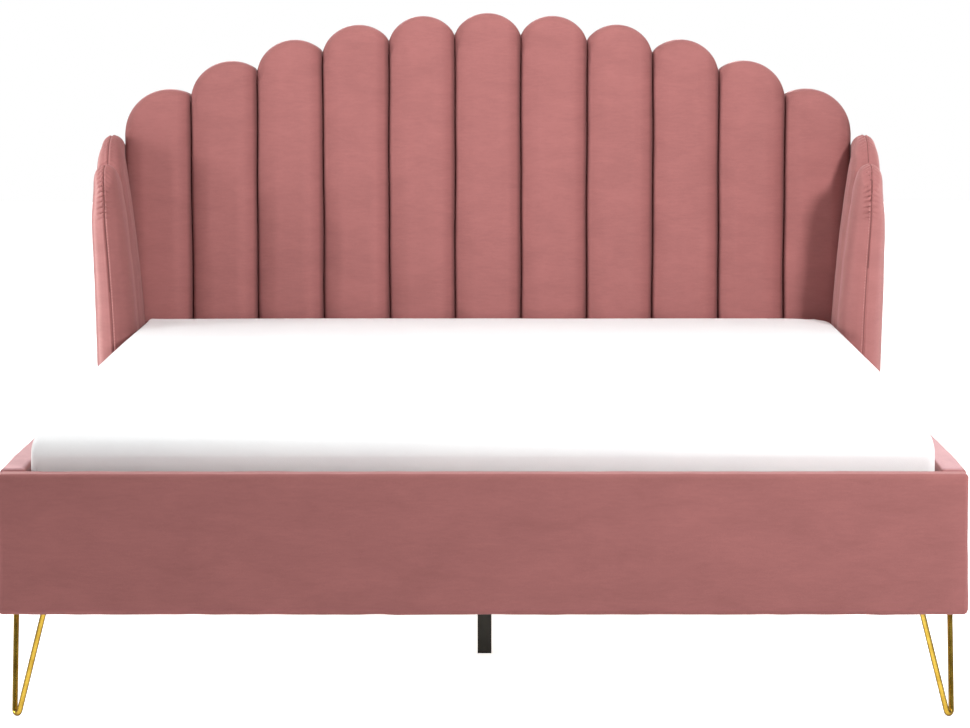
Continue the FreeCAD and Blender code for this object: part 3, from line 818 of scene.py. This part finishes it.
def dress_channel(piece, number):
    """Swells a channel's front, then adds its wandering seams, waves and puckers."""
    low, high = OUTLINES[number - 1][:2]
    places = points_of(piece)
    x, y, z = places.T
    side = np.minimum(x - low.x, high.x - x)
    facing = y < low.y + SEAM_ROUND * 0.6
    inflate(piece, ~facing | (side < SEAM_ROUND * 0.35), 0.004, pressure=2.0)
    across = (x - low.x) / (high.x - low.x)
    front = fade(low.y + SEAM_ROUND - y, 0.0, SEAM_ROUND * 0.5)
    swell = CHANNEL_CROWN * np.sin(np.pi * np.clip(across, 0, 1))
    waves = layers(places, (0.0015, (0.10, 0.10, 0.16), number),
                   (0.0006, (0.035, 0.035, 0.05), number + 30))
    seam_places = np.column_stack([np.where(x - low.x < high.x - x, 0.0, 1.0), y * 0, z])
    puckers = layers(seam_places, (0.0011, (0.05, 1.0, 0.016), number + 60)) * bump(side - 0.010, 0.010)
    places = points_of(piece)
    places[:, 1] = np.maximum(places[:, 1] - (swell + waves + puckers) * front, low.y - SWELL_LIMIT)
    places[:, 0] += seam_shift(number - 1, z) * (1 - across) + seam_shift(number, z) * across
    move_points(piece, places)


# ---------------------------------------------------------------- headboard back cover
def outline_height(x):
    """Height of the headboard's scalloped edge at a place across it."""
    ends = [outline[1].x for outline in OUTLINES[:-1]]
    number = int(np.searchsorted(ends, x)) + 1
    return arc_height(OUTLINES[number - 1], x) - valley_dip(x, number)


def cover_path(x, low, sheet_y, depths):
    """Up the back at one place across the headboard, round its edge and forward over it."""
    top = outline_height(float(x)) - COVER_INSET - COVER_CLOTH / 2
    path = [(x, sheet_y, z) for z in np.linspace(low.z + 0.002, top - COVER_TURN, COVER_ROWS)]
    for angle in np.linspace(0, RIGHT_ANGLE, COVER_TURN_STEPS + 1)[1:]:
        back = sheet_y - COVER_TURN * (1 - math.cos(angle))
        path.append((x, back, top - COVER_TURN + COVER_TURN * math.sin(angle)))
    return path + [(x, y, top) for y in depths[1:]]


def back_cover():
    """Velvet pulled over the back of the frame, and forward over its scalloped edge and its sides."""
    low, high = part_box("headboard_back_cover")
    columns = [np.linspace(outline[0].x, outline[1].x, 19)[:-1] for outline in OUTLINES]
    columns = np.concatenate(columns + [[OUTLINES[-1][1].x]])
    columns = np.clip(columns, low.x + COVER_CLOTH / 2, high.x - COVER_CLOTH / 2)
    sheet_y = high.y - COVER_CLOTH / 2
    depths = np.linspace(sheet_y - COVER_TURN, low.y + 0.0008, 8)
    rows = np.array([cover_path(x, low, sheet_y, depths) for x in columns])
    count, size = rows.shape[:2]
    points = rows.reshape(-1, 3).tolist()
    faces = grid_faces(count, size)
    for column in (0, count - 1):
        faces += side_wrap(points, column * size, depths)
    piece = make_piece("headboard_back_velvet", points, faces)
    face_outwards(piece)
    sag_back(piece, high)
    solid = piece.modifiers.new("Thickness", "SOLIDIFY")
    solid.thickness = COVER_CLOTH
    solid.offset = 0.0
    bake_modifiers(piece)
    piece.data.materials.append(materials["velvet"])
    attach(piece, FRAME_BODY)
    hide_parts("headboard_back_cover")


def side_wrap(points, first, depths):
    """Adds the cloth down one side of the headboard. first is the number of the end column's start."""
    start = len(points)
    last = COVER_ROWS - 1
    heights = [points[first + j][2] for j in range(COVER_ROWS)]
    points += [(points[first][0], y, z) for y in depths for z in heights]
    lines = [first] + [start + k * COVER_ROWS for k in range(len(depths))]
    faces = [(a + j, b + j, b + j + 1, a + j + 1) for a, b in zip(lines, lines[1:]) for j in range(last)]
    over = first + last + COVER_TURN_STEPS
    faces.append((lines[1] + last, *range(first + last, over + 1)))
    for k in range(len(depths) - 1):
        faces.append((lines[k + 1] + last, over + k, over + k + 1, lines[k + 2] + last))
    return faces


def sag_back(piece, high):
    """The cloth dips a little where neither a post nor a batten backs it."""
    places = points_of(piece)
    x, y, z = places.T
    frame_low, frame_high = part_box("headboard_back_frame")
    from_post = frame_high.x - POST_WIDTH - np.abs(x)
    from_battens = (z - frame_low.z - POST_WIDTH, frame_high.z - POST_WIDTH - z)
    inside_x = fade(from_post, 0.0, SAG_REACH)
    inside_z = fade(from_battens[0], 0.0, SAG_REACH) * fade(from_battens[1], 0.0, SAG_REACH)
    dip = 0.004 * inside_x * inside_z + layers(places, (0.0012, (0.3, 1.0, 0.3), 5)) * inside_x
    places[:, 1] -= np.where(y > high.y - 0.003, np.maximum(dip, 0), 0)
    move_points(piece, places)


# ---------------------------------------------------------------- wings
def wing_inner_face(z):
    """Distance of a wing's inner face from the middle of the bed."""
    rise = np.clip(np.asarray(z, float) - WING_FLARE_START, 0, None)
    return INNER_HALF_WIDTH + WING_FLARE_RADIUS - np.sqrt(WING_FLARE_RADIUS**2 - rise**2)


def wing_outer_face(z, top, side):
    """Distance of a wing's outer face from the middle of the bed."""
    share = np.clip((np.asarray(z, float) - FRAME_BOTTOM) / (top - BELOW_CREST - FRAME_BOTTOM), 0, 1)
    low_swell, high_swell = WING_SWELL[side]
    shoulder = FRONT_SHOULDER if top < REAR_TOP else REAR_SHOULDER
    face = WING_OUTER_LOW + (WING_OUTER - WING_OUTER_LOW) * share
    return face + low_swell * (1 - share) + high_swell * share - shoulder * fade(share, 0.82, 1.0)


def seam_line(z, top, side):
    """Distance of the closing seam, at a wing's mid-thickness, from the middle of the bed."""
    return (wing_inner_face(z) + wing_outer_face(z, top, side)) / 2


def side_arc(y, low, high, falls):
    """Height of a finger's top, seen from the side: an arc through its front, crest and rear."""
    front = np.array([low.y, high.z - falls[0]])
    crest = np.array([(low.y + high.y) / 2, high.z])
    rear = np.array([high.y, high.z - falls[1]])
    centre, radius = circle_through(front, crest, rear)
    return centre[1] + math.sqrt(max(radius**2 - (y - centre[0]) ** 2, 0))


def finger_slice(y, crest, top, cut, side):
    """Closed loop round a finger at one place along the bed, drawn on the +X side.

    cut is (share of the half thickness, groove, inner groove, inner limit). The groove closes up
    lower down.
    """
    half_share, groove, inner_groove, inner_limit = cut
    inner_most = inner_limit + groove if inner_limit else WING_BOARD - BOARD_COVER
    inner_top = max(float(wing_inner_face(crest - BELOW_CREST)), inner_limit) + groove + inner_groove
    inner_top = min(max(inner_top, inner_limit), inner_most)
    outer_top = float(wing_outer_face(crest - BELOW_CREST, top, side)) - groove
    top_half = max((outer_top - inner_top) / 2 * half_share, THINNEST)
    top_middle = (outer_top + inner_top) / 2
    spring = crest - groove - top_half
    low_z = FRAME_BOTTOM + FINGER_HEM
    shares = np.concatenate([np.linspace(0, 0.86, 36)[:-1], np.linspace(0.86, 1, 34)])
    heights = low_z + (spring - low_z) * shares
    opening = fade(heights, *GROOVE_OPENS)
    depth = groove * (opening + (1 - opening) * GROOVE_CLOSED / FINGER_GROOVE)
    inner = np.maximum(wing_inner_face(heights), inner_limit) + depth + inner_groove
    inner = np.clip(inner, inner_limit, inner_most)
    outer = wing_outer_face(heights, top, side) - depth
    middle = (inner + outer) / 2
    half = np.maximum((outer - inner) / 2 * half_share, THINNEST)
    corner = min(FINGER_HEM, half[0] * 0.9)
    hem = [(half[0] - corner * (1 - math.cos(a)), low_z - FINGER_HEM * math.sin(a))
           for a in np.linspace(0, RIGHT_ANGLE, 4)[1:]]
    loop = [(middle[0] + out, y, z) for out, z in hem[::-1]]
    loop += [(m + h, y, z) for m, h, z in zip(middle, half, heights)]
    loop += [(top_middle + top_half * math.cos(a), y, spring + top_half * math.sin(a))
             for a in np.linspace(0, math.pi, 25)[1:-1]]
    loop += [(m - h, y, z) for m, h, z in zip(middle[::-1], half[::-1], heights[::-1])]
    return loop + [(middle[0] - out, y, z) for out, z in hem]


def quarter_turn(start, end, count):
    """Steps round a quarter circle of radius 1, as how far each lies in from either side."""
    return [(1 - math.cos(angle), 1 - math.sin(angle)) for angle in np.linspace(start, end, count)]


def front_finger_plan(low, high):
    """Where a front finger is cut and how: round its nose, along it, and into its groove."""
    plan = [(low.y + NOSE_DEPTH * back, (1 - inwards, 0, 0, 0))
            for back, inwards in quarter_turn(END_TURN, RIGHT_ANGLE, 24)]
    plan += [(y, (1, 0, 0, 0)) for y in np.linspace(low.y + NOSE_DEPTH, high.y - FINGER_GROOVE, 16)[1:]]
    plan += [(high.y - FINGER_GROOVE * back, (1, FINGER_GROOVE * inwards, 0, 0))
             for back, inwards in quarter_turn(RIGHT_ANGLE, END_TURN, 7)[1:]]
    return plan


def rear_finger_plan(low, high):
    """The same for a rear finger: out of its groove, to the channels, and over the board's edge."""
    limit = WING_BOARD - BOARD_COVER
    rear = high.y + BOARD_COVER
    plan = [(low.y + FINGER_GROOVE * back, (1, FINGER_GROOVE * inwards, 0, 0))
            for back, inwards in quarter_turn(END_TURN, RIGHT_ANGLE, 7)]
    plan += [(y, (1, 0, 0, 0)) for y in np.linspace(low.y + FINGER_GROOVE, CHANNEL_FACE - 0.012, 24)[1:]]
    plan += [(CHANNEL_FACE - 0.001 - 0.010 * back, (1, 0, 0.008 * inwards, 0))
             for back, inwards in quarter_turn(RIGHT_ANGLE, 0.1, 5)[1:]]
    plan += [(y, (1, 0, 0, limit)) for y in np.linspace(CHANNEL_FACE - 0.0006, rear - REAR_ROUND, 8)]
    plan += [(rear - REAR_ROUND * back, (1, REAR_ROUND * inwards, -REAR_ROUND * inwards, limit))
             for back, inwards in quarter_turn(RIGHT_ANGLE, END_TURN, 6)[1:]]
    return plan


def finger_piece(part, side_name, side):
    """One padded finger of a wing."""
    node = f"wing_finger_{part}_{side_name}"
    low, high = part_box(f"wing_finger_{part}_right")
    plan = {"front": front_finger_plan, "rear": rear_finger_plan}[part](low, high)
    sections = np.array([finger_slice(y, side_arc(y, low, high, FINGER_FALLS[part]), high.z, cut, side)
                         for y, cut in plan])
    sections[:, :, 0] *= side
    piece = make_piece(node + "_velvet", *loft(sections))
    face_outwards(piece)
    x, y, z = points_of(piece).T
    held = z < FRAME_BOTTOM + 0.02
    if part == "rear":
        held |= (y > CHANNEL_FACE - 0.012) | (y < low.y + 0.004)
    else:
        held |= y > high.y - 0.004
    inflate(piece, held, 0.003, pressure=2.0)
    subdivide(piece)
    relax(piece, fade(points_of(piece)[:, 2], high.z - 0.16, high.z - 0.09), 26)
    dress_finger(piece, part, side, low, high)
    give_seam_shade(piece, in_finger_seam_shade(piece, part, side, low, high), "wing_" + side_name)
    if part == "front":
        add_stitches(piece, side, low, high)
    finish_soft(piece, FRAME_BODY, [node])


def thread_stitch(x, y, z):
    """One upright stitch: a short thread with rounded ends."""
    around = np.linspace(0, 2 * math.pi, 7)[:-1]
    rings = []
    for along, share in ((-0.5, 0.3), (-0.32, 1.0), (0.32, 1.0), (0.5, 0.3)):
        radius = THREAD_RADIUS * share
        height = z + STITCH_LENGTH * along
        rings.append([(x + radius * math.cos(a), y + radius * math.sin(a), height) for a in around])
    return loft(np.array(rings))


def add_stitches(piece, side, low, high):
    """A row of stitches down the front of a wing, beside its closing seam."""
    places = points_of(piece)
    nose = places[places[:, 1] < low.y + 0.02]
    points, faces = [], []
    for z in np.arange(FRAME_BOTTOM + 0.04, high.z - 0.085, STITCH_PITCH):
        x = float(seam_line(z, high.z, side) - STITCH_OFFSET) * side
        nearest = nose[np.hypot(nose[:, 0] - x, nose[:, 2] - z).argmin()]
        stitch, stitch_faces = thread_stitch(x, nearest[1] - 0.0001, z)
        faces += [tuple(point + len(points) for point in face) for face in stitch_faces]
        points += stitch.tolist()
    row = make_piece(piece.name + "_stitches", points, faces)
    face_outwards(row)
    piece.data.materials.append(materials["thread"])
    row.data.polygons.foreach_set("material_index", [len(piece.data.materials) - 1] * len(faces))
    joined = bmesh.new()
    joined.from_mesh(piece.data)
    joined.from_mesh(row.data)
    joined.to_mesh(piece.data)
    joined.free()
    bpy.data.objects.remove(row)


def dress_finger(piece, part, side, low, high):
    """Adds the closing seam at mid-thickness, the puckers beside it, and soft waves."""
    places = points_of(piece)
    x, y, z = places.T
    from_seam = x * side - seam_line(z, high.z, side)
    top_zone = fade(z, high.z - SEAM_START, high.z - SEAM_START + 0.030)
    front_zone = (1 - fade(y, low.y + 0.006, low.y + 0.022)) * (part == "front")
    seam = -SEAM_DEPTH * bump(from_seam, 0.0020)
    lips = 0.0008 * bump(np.abs(from_seam) - 0.0045, 0.0026)
    puckers = -PUCKER_DEPTH * gathers(places, side, low, high)
    waves = layers(places, (0.0011, (0.09, 0.09, 0.14), 80 + (part == "rear") + side),
                   (0.0005, (0.03, 0.03, 0.045), 90 + side))
    keep_clear = fade(z, FRAME_BOTTOM, FRAME_BOTTOM + 0.03)
    push_out(piece, (seam + lips + puckers) * np.maximum(top_zone, front_zone) + waves * keep_clear)


def gathers(places, side, low, high):
    """How deep each point lies in the gathers beside a closing seam, from 0 to 1."""
    x, y, z = places.T
    from_seam = x * side - seam_line(z, high.z, side)
    turn = np.abs(from_seam) + layers(places, (0.0012, (0.02, 0.02, 0.02), 33 + side))
    rise = z - (high.z - CREST_TURN[1])
    round_top = CREST_TURN[0] * np.arctan2(np.maximum(rise, 0), low.y + CREST_TURN[0] - y)
    along = np.where(rise < 0, rise, round_top)
    pleat = np.clip(np.cos(2 * math.pi * (along + turn * 0.4) / PUCKER_PITCH), 0, 1) ** 2
    near = fade(turn, 0.0012, 0.0035) * (1 - fade(turn, 0.009, 0.020))
    fuller = np.where(from_seam * side < 0, 1.0, 0.55)
    start, full = PUCKER_REACH
    crest_y = (low.y + high.y) / 2
    to_front = 1 - fade(y, crest_y - 0.015, crest_y + 0.015)
    return pleat * near * fuller * to_front * fade(z, high.z - start, high.z - full)


def in_finger_seam_shade(piece, part, side, low, high):
    """Which points of a finger lie in the bottom of its closing seam or of a gather beside it; faces there
    get painted shade.
    """
    places = points_of(piece)
    x, y, z = places.T
    from_seam = np.abs(x * side - seam_line(z, high.z, side))
    on_nose = (y < low.y + 0.016) & (part == "front")
    over_top = z > high.z - SEAM_START + 0.012
    in_seam = from_seam < np.where(on_nose, 0.0022, 0.0018)
    return (in_seam | (gathers(places, side, low, high) > 0.36)) & (on_nose | over_top)


def wing_fingers():
    for side_name, side in SIDES:
        for part in ("front", "rear"):
            finger_piece(part, side_name, side)


# ---------------------------------------------------------------- rails and footboard
def padded_box(name, box, radius, step, sewn, cap, pressure, material):
    """Rounded box, swollen and made finer. sewn says which of its points are sewn down."""
    piece = rounded_box(name, *box, radius, step)
    inflate(piece, sewn(*points_of(piece).T), cap, pressure=pressure)
    subdivide(piece)
    piece.data.materials.append(materials[material])
    return piece


def dress_rail(piece, seed, low, high):
    """Foam waves along a rail or the footboard, strongest away from its edges."""
    places = points_of(piece)
    z = places[:, 2]
    upright = fade(z, low.z + 0.01, low.z + 0.05) * (1 - fade(z, high.z - 0.05, high.z - 0.012))
    low_edge = 1 - fade(z, low.z + 0.01, low.z + 0.06)
    waves = layers(places, (0.0013, (0.22, 0.22, 0.10), seed)) * upright
    waves += layers(places, (0.0005, (0.05, 0.05, 0.03), seed + 7))
    waves += layers(places, (0.0009, (0.05, 0.05, 0.02), seed + 11)) * low_edge
    places += normals_of(piece) * np.minimum(waves, 0.0015)[:, None]
    places[:, 2] = np.clip(places[:, 2], low.z - 0.002, high.z + 0.002)
    move_points(piece, places)


def crown_rail(piece, low, high):
    """Raises the top of a side rail between its ends."""
    places = points_of(piece)
    x, y, z = places.T
    from_end = np.clip(np.minimum(y - low.y, high.y - y) / RAIL_RISE, 0, 1)
    places[:, 2] += RAIL_CROWN * (1 - (1 - from_end) ** 2) * fade(z, (low.z + high.z) / 2, high.z)
    move_points(piece, places)


def side_rail(side_name):
    """Padded cover of one side rail, sewn down on its inner side, at its ends and underneath."""
    node = f"side_rail_cover_{side_name}"
    low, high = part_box(node)

    def sewn(x, y, z):
        at_end = (y < low.y + 0.012) | (y > high.y - 0.012)
        return at_end | (np.abs(x) < INNER_HALF_WIDTH + 0.002) | (z < low.z + 0.004)

    piece = padded_box(node + "_velvet", (low, high), RAIL_ROUND, 0.014, sewn, 0.003, 2.0, "rail")
    dress_rail(piece, 3 + (side_name == "left"), low, high)
    crown_rail(piece, low, high)
    finish_soft(piece, FRAME_BODY, [node])


def tuck_corners(piece, low, high):
    """Folds where the cover is drawn tight under the footboard's corners."""
    places = points_of(piece)
    x, y, z = places.T
    on_front = 1 - fade(y, low.y + 0.004, low.y + 0.014)
    for start, end, rise, depth in CORNER_FOLDS:
        share = np.clip((x - start) / (end - start), 0, 1)
        line = low.z + 0.006 + rise * np.sin(math.pi * share)
        fold = bump(z - line, 0.0035) - 0.6 * bump(z - line + 0.007, 0.004)
        places[:, 1] += depth * fold * np.sin(math.pi * share) ** 0.5 * on_front
    low_edge = 1 - fade(z, low.z + 0.002, low.z + 0.030)
    places[:, 2] -= EDGE_DROP * low_edge * (1 - fade(y, low.y + 0.008, low.y + 0.020))
    move_points(piece, places)


def footboard():
    """Padded cover of the footboard, sewn down behind and underneath."""
    node = "footboard_cover"
    low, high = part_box(node)

    def sewn(x, y, z):
        return (y > high.y - 0.002) | (z < low.z + 0.004)

    piece = padded_box(node + "_velvet", (low, high), RAIL_ROUND, 0.014, sewn, 0.003, 2.0, "footboard")
    dress_rail(piece, 21, low, high)
    tuck_corners(piece, low, high)
    finish_soft(piece, FRAME_BODY, [node])


# ---------------------------------------------------------------- mattress
def mattress():
    """Crowned mattress in a knitted cover, softer at the foot end and at one rear corner."""
    low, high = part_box("mattress_cover")

    def sewn(x, y, z):
        return z < low.z + MATTRESS_ROUND * 0.5

    piece = padded_box(
        "mattress_knit_cover", (low, high), MATTRESS_ROUND, 0.030, sewn, 0.006, 3.0, "mattress")
    places = points_of(piece)
    x, y, z = places.T
    upper = fade(z, low.z + 0.08, high.z - 0.02)
    front = np.clip(1 - (y - low.y) / MATTRESS_FRONT_REACH, 0, 1)
    edge = np.clip(1 - (y - low.y) / MATTRESS_EDGE[0], 0, 1)
    roll = MATTRESS_FRONT_FALL * front**2 + MATTRESS_EDGE[1] * (1 - np.sqrt(1 - edge**2 * 0.98))
    lift = MATTRESS_LIFT + layers(places, (0.0012, (0.35, 0.35, 0.2), 41))
    places[:, 2] += lift * upper * (1 - front) - roll * fade(z, low.z + 0.02, high.z - 0.01)
    above_rail = fade(z, RAIL_TOP, RAIL_TOP + 0.08)
    bulge = MATTRESS_BULGE * fade(np.abs(x), 0.6, 0.79) * (1 - 1.35 * front) * above_rail
    places[:, 0] += np.sign(x) * bulge
    round_corner(places, high)
    least = np.array(low) - (MATTRESS_BULGE, 0.003, 0)
    most = np.array(high) + (MATTRESS_BULGE, -MATTRESS_REAR_GAP, 0.010)
    move_points(piece, np.clip(places, least, most))
    finish_soft(piece, MATTRESS_BODY, ["mattress_cover", "mattress_core"])


def round_corner(places, high):
    """Draws the rear right corner in to a large plan radius, most at the top."""
    away = places[:, :2] - (high.x - MATTRESS_CORNER, high.y - MATTRESS_CORNER)
    square = np.maximum(away.max(axis=1), 1e-9)
    length = np.maximum(np.hypot(*away.T), 1e-9)
    in_corner = (away > 0).all(axis=1)
    share = np.where(in_corner, fade(places[:, 2], high.z - 0.16, high.z - 0.03), 0)
    places[:, :2] += away * ((square / length - 1) * share)[:, None]


# ---------------------------------------------------------------- studio
FRONT_LIGHT = 0.13              # strength of the white surroundings from the camera's side
BACKDROP_LIGHT = 1.40           # and from behind the bed
KEY_SPREAD = 84.0               # degrees: a grid keeps the main light on the headboard
FLOOR_LIGHT = 0.30              # light that the floor gives off
FLOOR_SEEN = 0.85               # how bright it looks
FLOOR_HALF = 14.0
CAMERA_PLACE = (0.0368, -6.7135, 1.2464)
CAMERA_TURN = (6.280, -0.3254, -0.060)      # degrees down, to the right and round its own axis


def camera():
    """The viewing angle: low and almost straight on from the foot of the bed."""
    data = bpy.data.cameras.new("camera")
    data.lens = 121.45
    data.sensor_width = 36.0
    data.clip_end = 50.0
    view = bpy.data.objects.new("camera", data)
    bpy.context.scene.collection.objects.link(view)
    pitch, yaw, roll = (math.radians(angle) for angle in CAMERA_TURN)
    turn = (Matrix.Rotation(-yaw, 4, "Z") @ Matrix.Rotation(RIGHT_ANGLE - pitch, 4, "X")
            @ Matrix.Rotation(roll, 4, "Z"))
    view.matrix_world = Matrix.Translation(CAMERA_PLACE) @ turn
    bpy.context.scene.camera = view


def soft_light(name, place, target, size, power):
    data = bpy.data.lights.new(name, "AREA")
    data.shape = "RECTANGLE"
    data.size, data.size_y = size
    data.energy = power
    light = bpy.data.objects.new(name, data)
    bpy.context.scene.collection.objects.link(light)
    light.location = place
    aim = Vector(target) - Vector(place)
    light.rotation_euler = aim.to_track_quat("-Z", "Y").to_euler()
    return light


def studio():
    """White surroundings that light mostly from behind, as a white backdrop does, and soft boxes."""
    world = bpy.data.worlds.new("studio")
    bpy.context.scene.world = world
    nodes = Nodes(world)
    direction = nodes.add("TexCoord").outputs["Generated"]
    to_back = nodes.add("SeparateXYZ", {"Vector": direction}).outputs["Y"]
    strength = nodes.spread(to_back, FRONT_LIGHT, BACKDROP_LIGHT, -0.3, 0.5)
    lit = nodes.add("Background", {"Color": (*WHITE, 1), "Strength": strength})
    seen = nodes.add("Background", {"Color": (*WHITE, 1), "Strength": 1.0})
    mix = nodes.add("MixShader", {"Fac": nodes.camera_rays()})
    nodes.tree.links.new(lit.outputs["Background"], mix.inputs[1])
    nodes.tree.links.new(seen.outputs["Background"], mix.inputs[2])
    nodes.add("OutputWorld", {"Surface": mix.outputs["Shader"]})
    soft_light("top_light", (0.1, -0.2, 3.1), (0.1, 0.2, 0.4), (2.6, 2.4), 40)
    key = soft_light("key_light", (2.3, -3.2, 2.3), (-0.2, 1.0, 0.95), (0.5, 0.5), 44)
    key.data.spread = math.radians(KEY_SPREAD)
    soft_light("side_light", (-4.6, -0.8, 1.6), (0.2, 0.8, 0.6), (1.4, 1.4), 105)


def floor():
    """Pale studio floor with a faint mottle, just under the feet."""
    places = np.linspace(-FLOOR_HALF, FLOOR_HALF, 9)
    points = [(x, y, -0.0005) for x in places for y in places]
    piece = make_piece("studio_floor", points, grid_faces(len(places), len(places)))
    nodes = new_material("studio_floor")
    colour = nodes.ramp(nodes.noise(3.0, 3.0), (0.3, shade(WHITE, 0.93)), (0.7, shade(WHITE, 0.95)))
    glow = nodes.spread(nodes.camera_rays(), FLOOR_LIGHT, FLOOR_SEEN)
    piece.data.materials.append(nodes.finish(colour, 0.95, values={
        "Emission Color": colour, "Emission Strength": glow, "Specular IOR Level": 0.0}))


# ---------------------------------------------------------------- the whole scene
camera()
studio()
floor()
dress_cad_nodes()
for number in range(1, CHANNEL_COUNT + 1):
    channel_piece(number)
back_cover()
wing_fingers()
side_rail("left")
side_rail("right")
footboard()
mattress()

bpy.context.scene.view_settings.view_transform = "Standard"
bpy.context.view_layer.update()
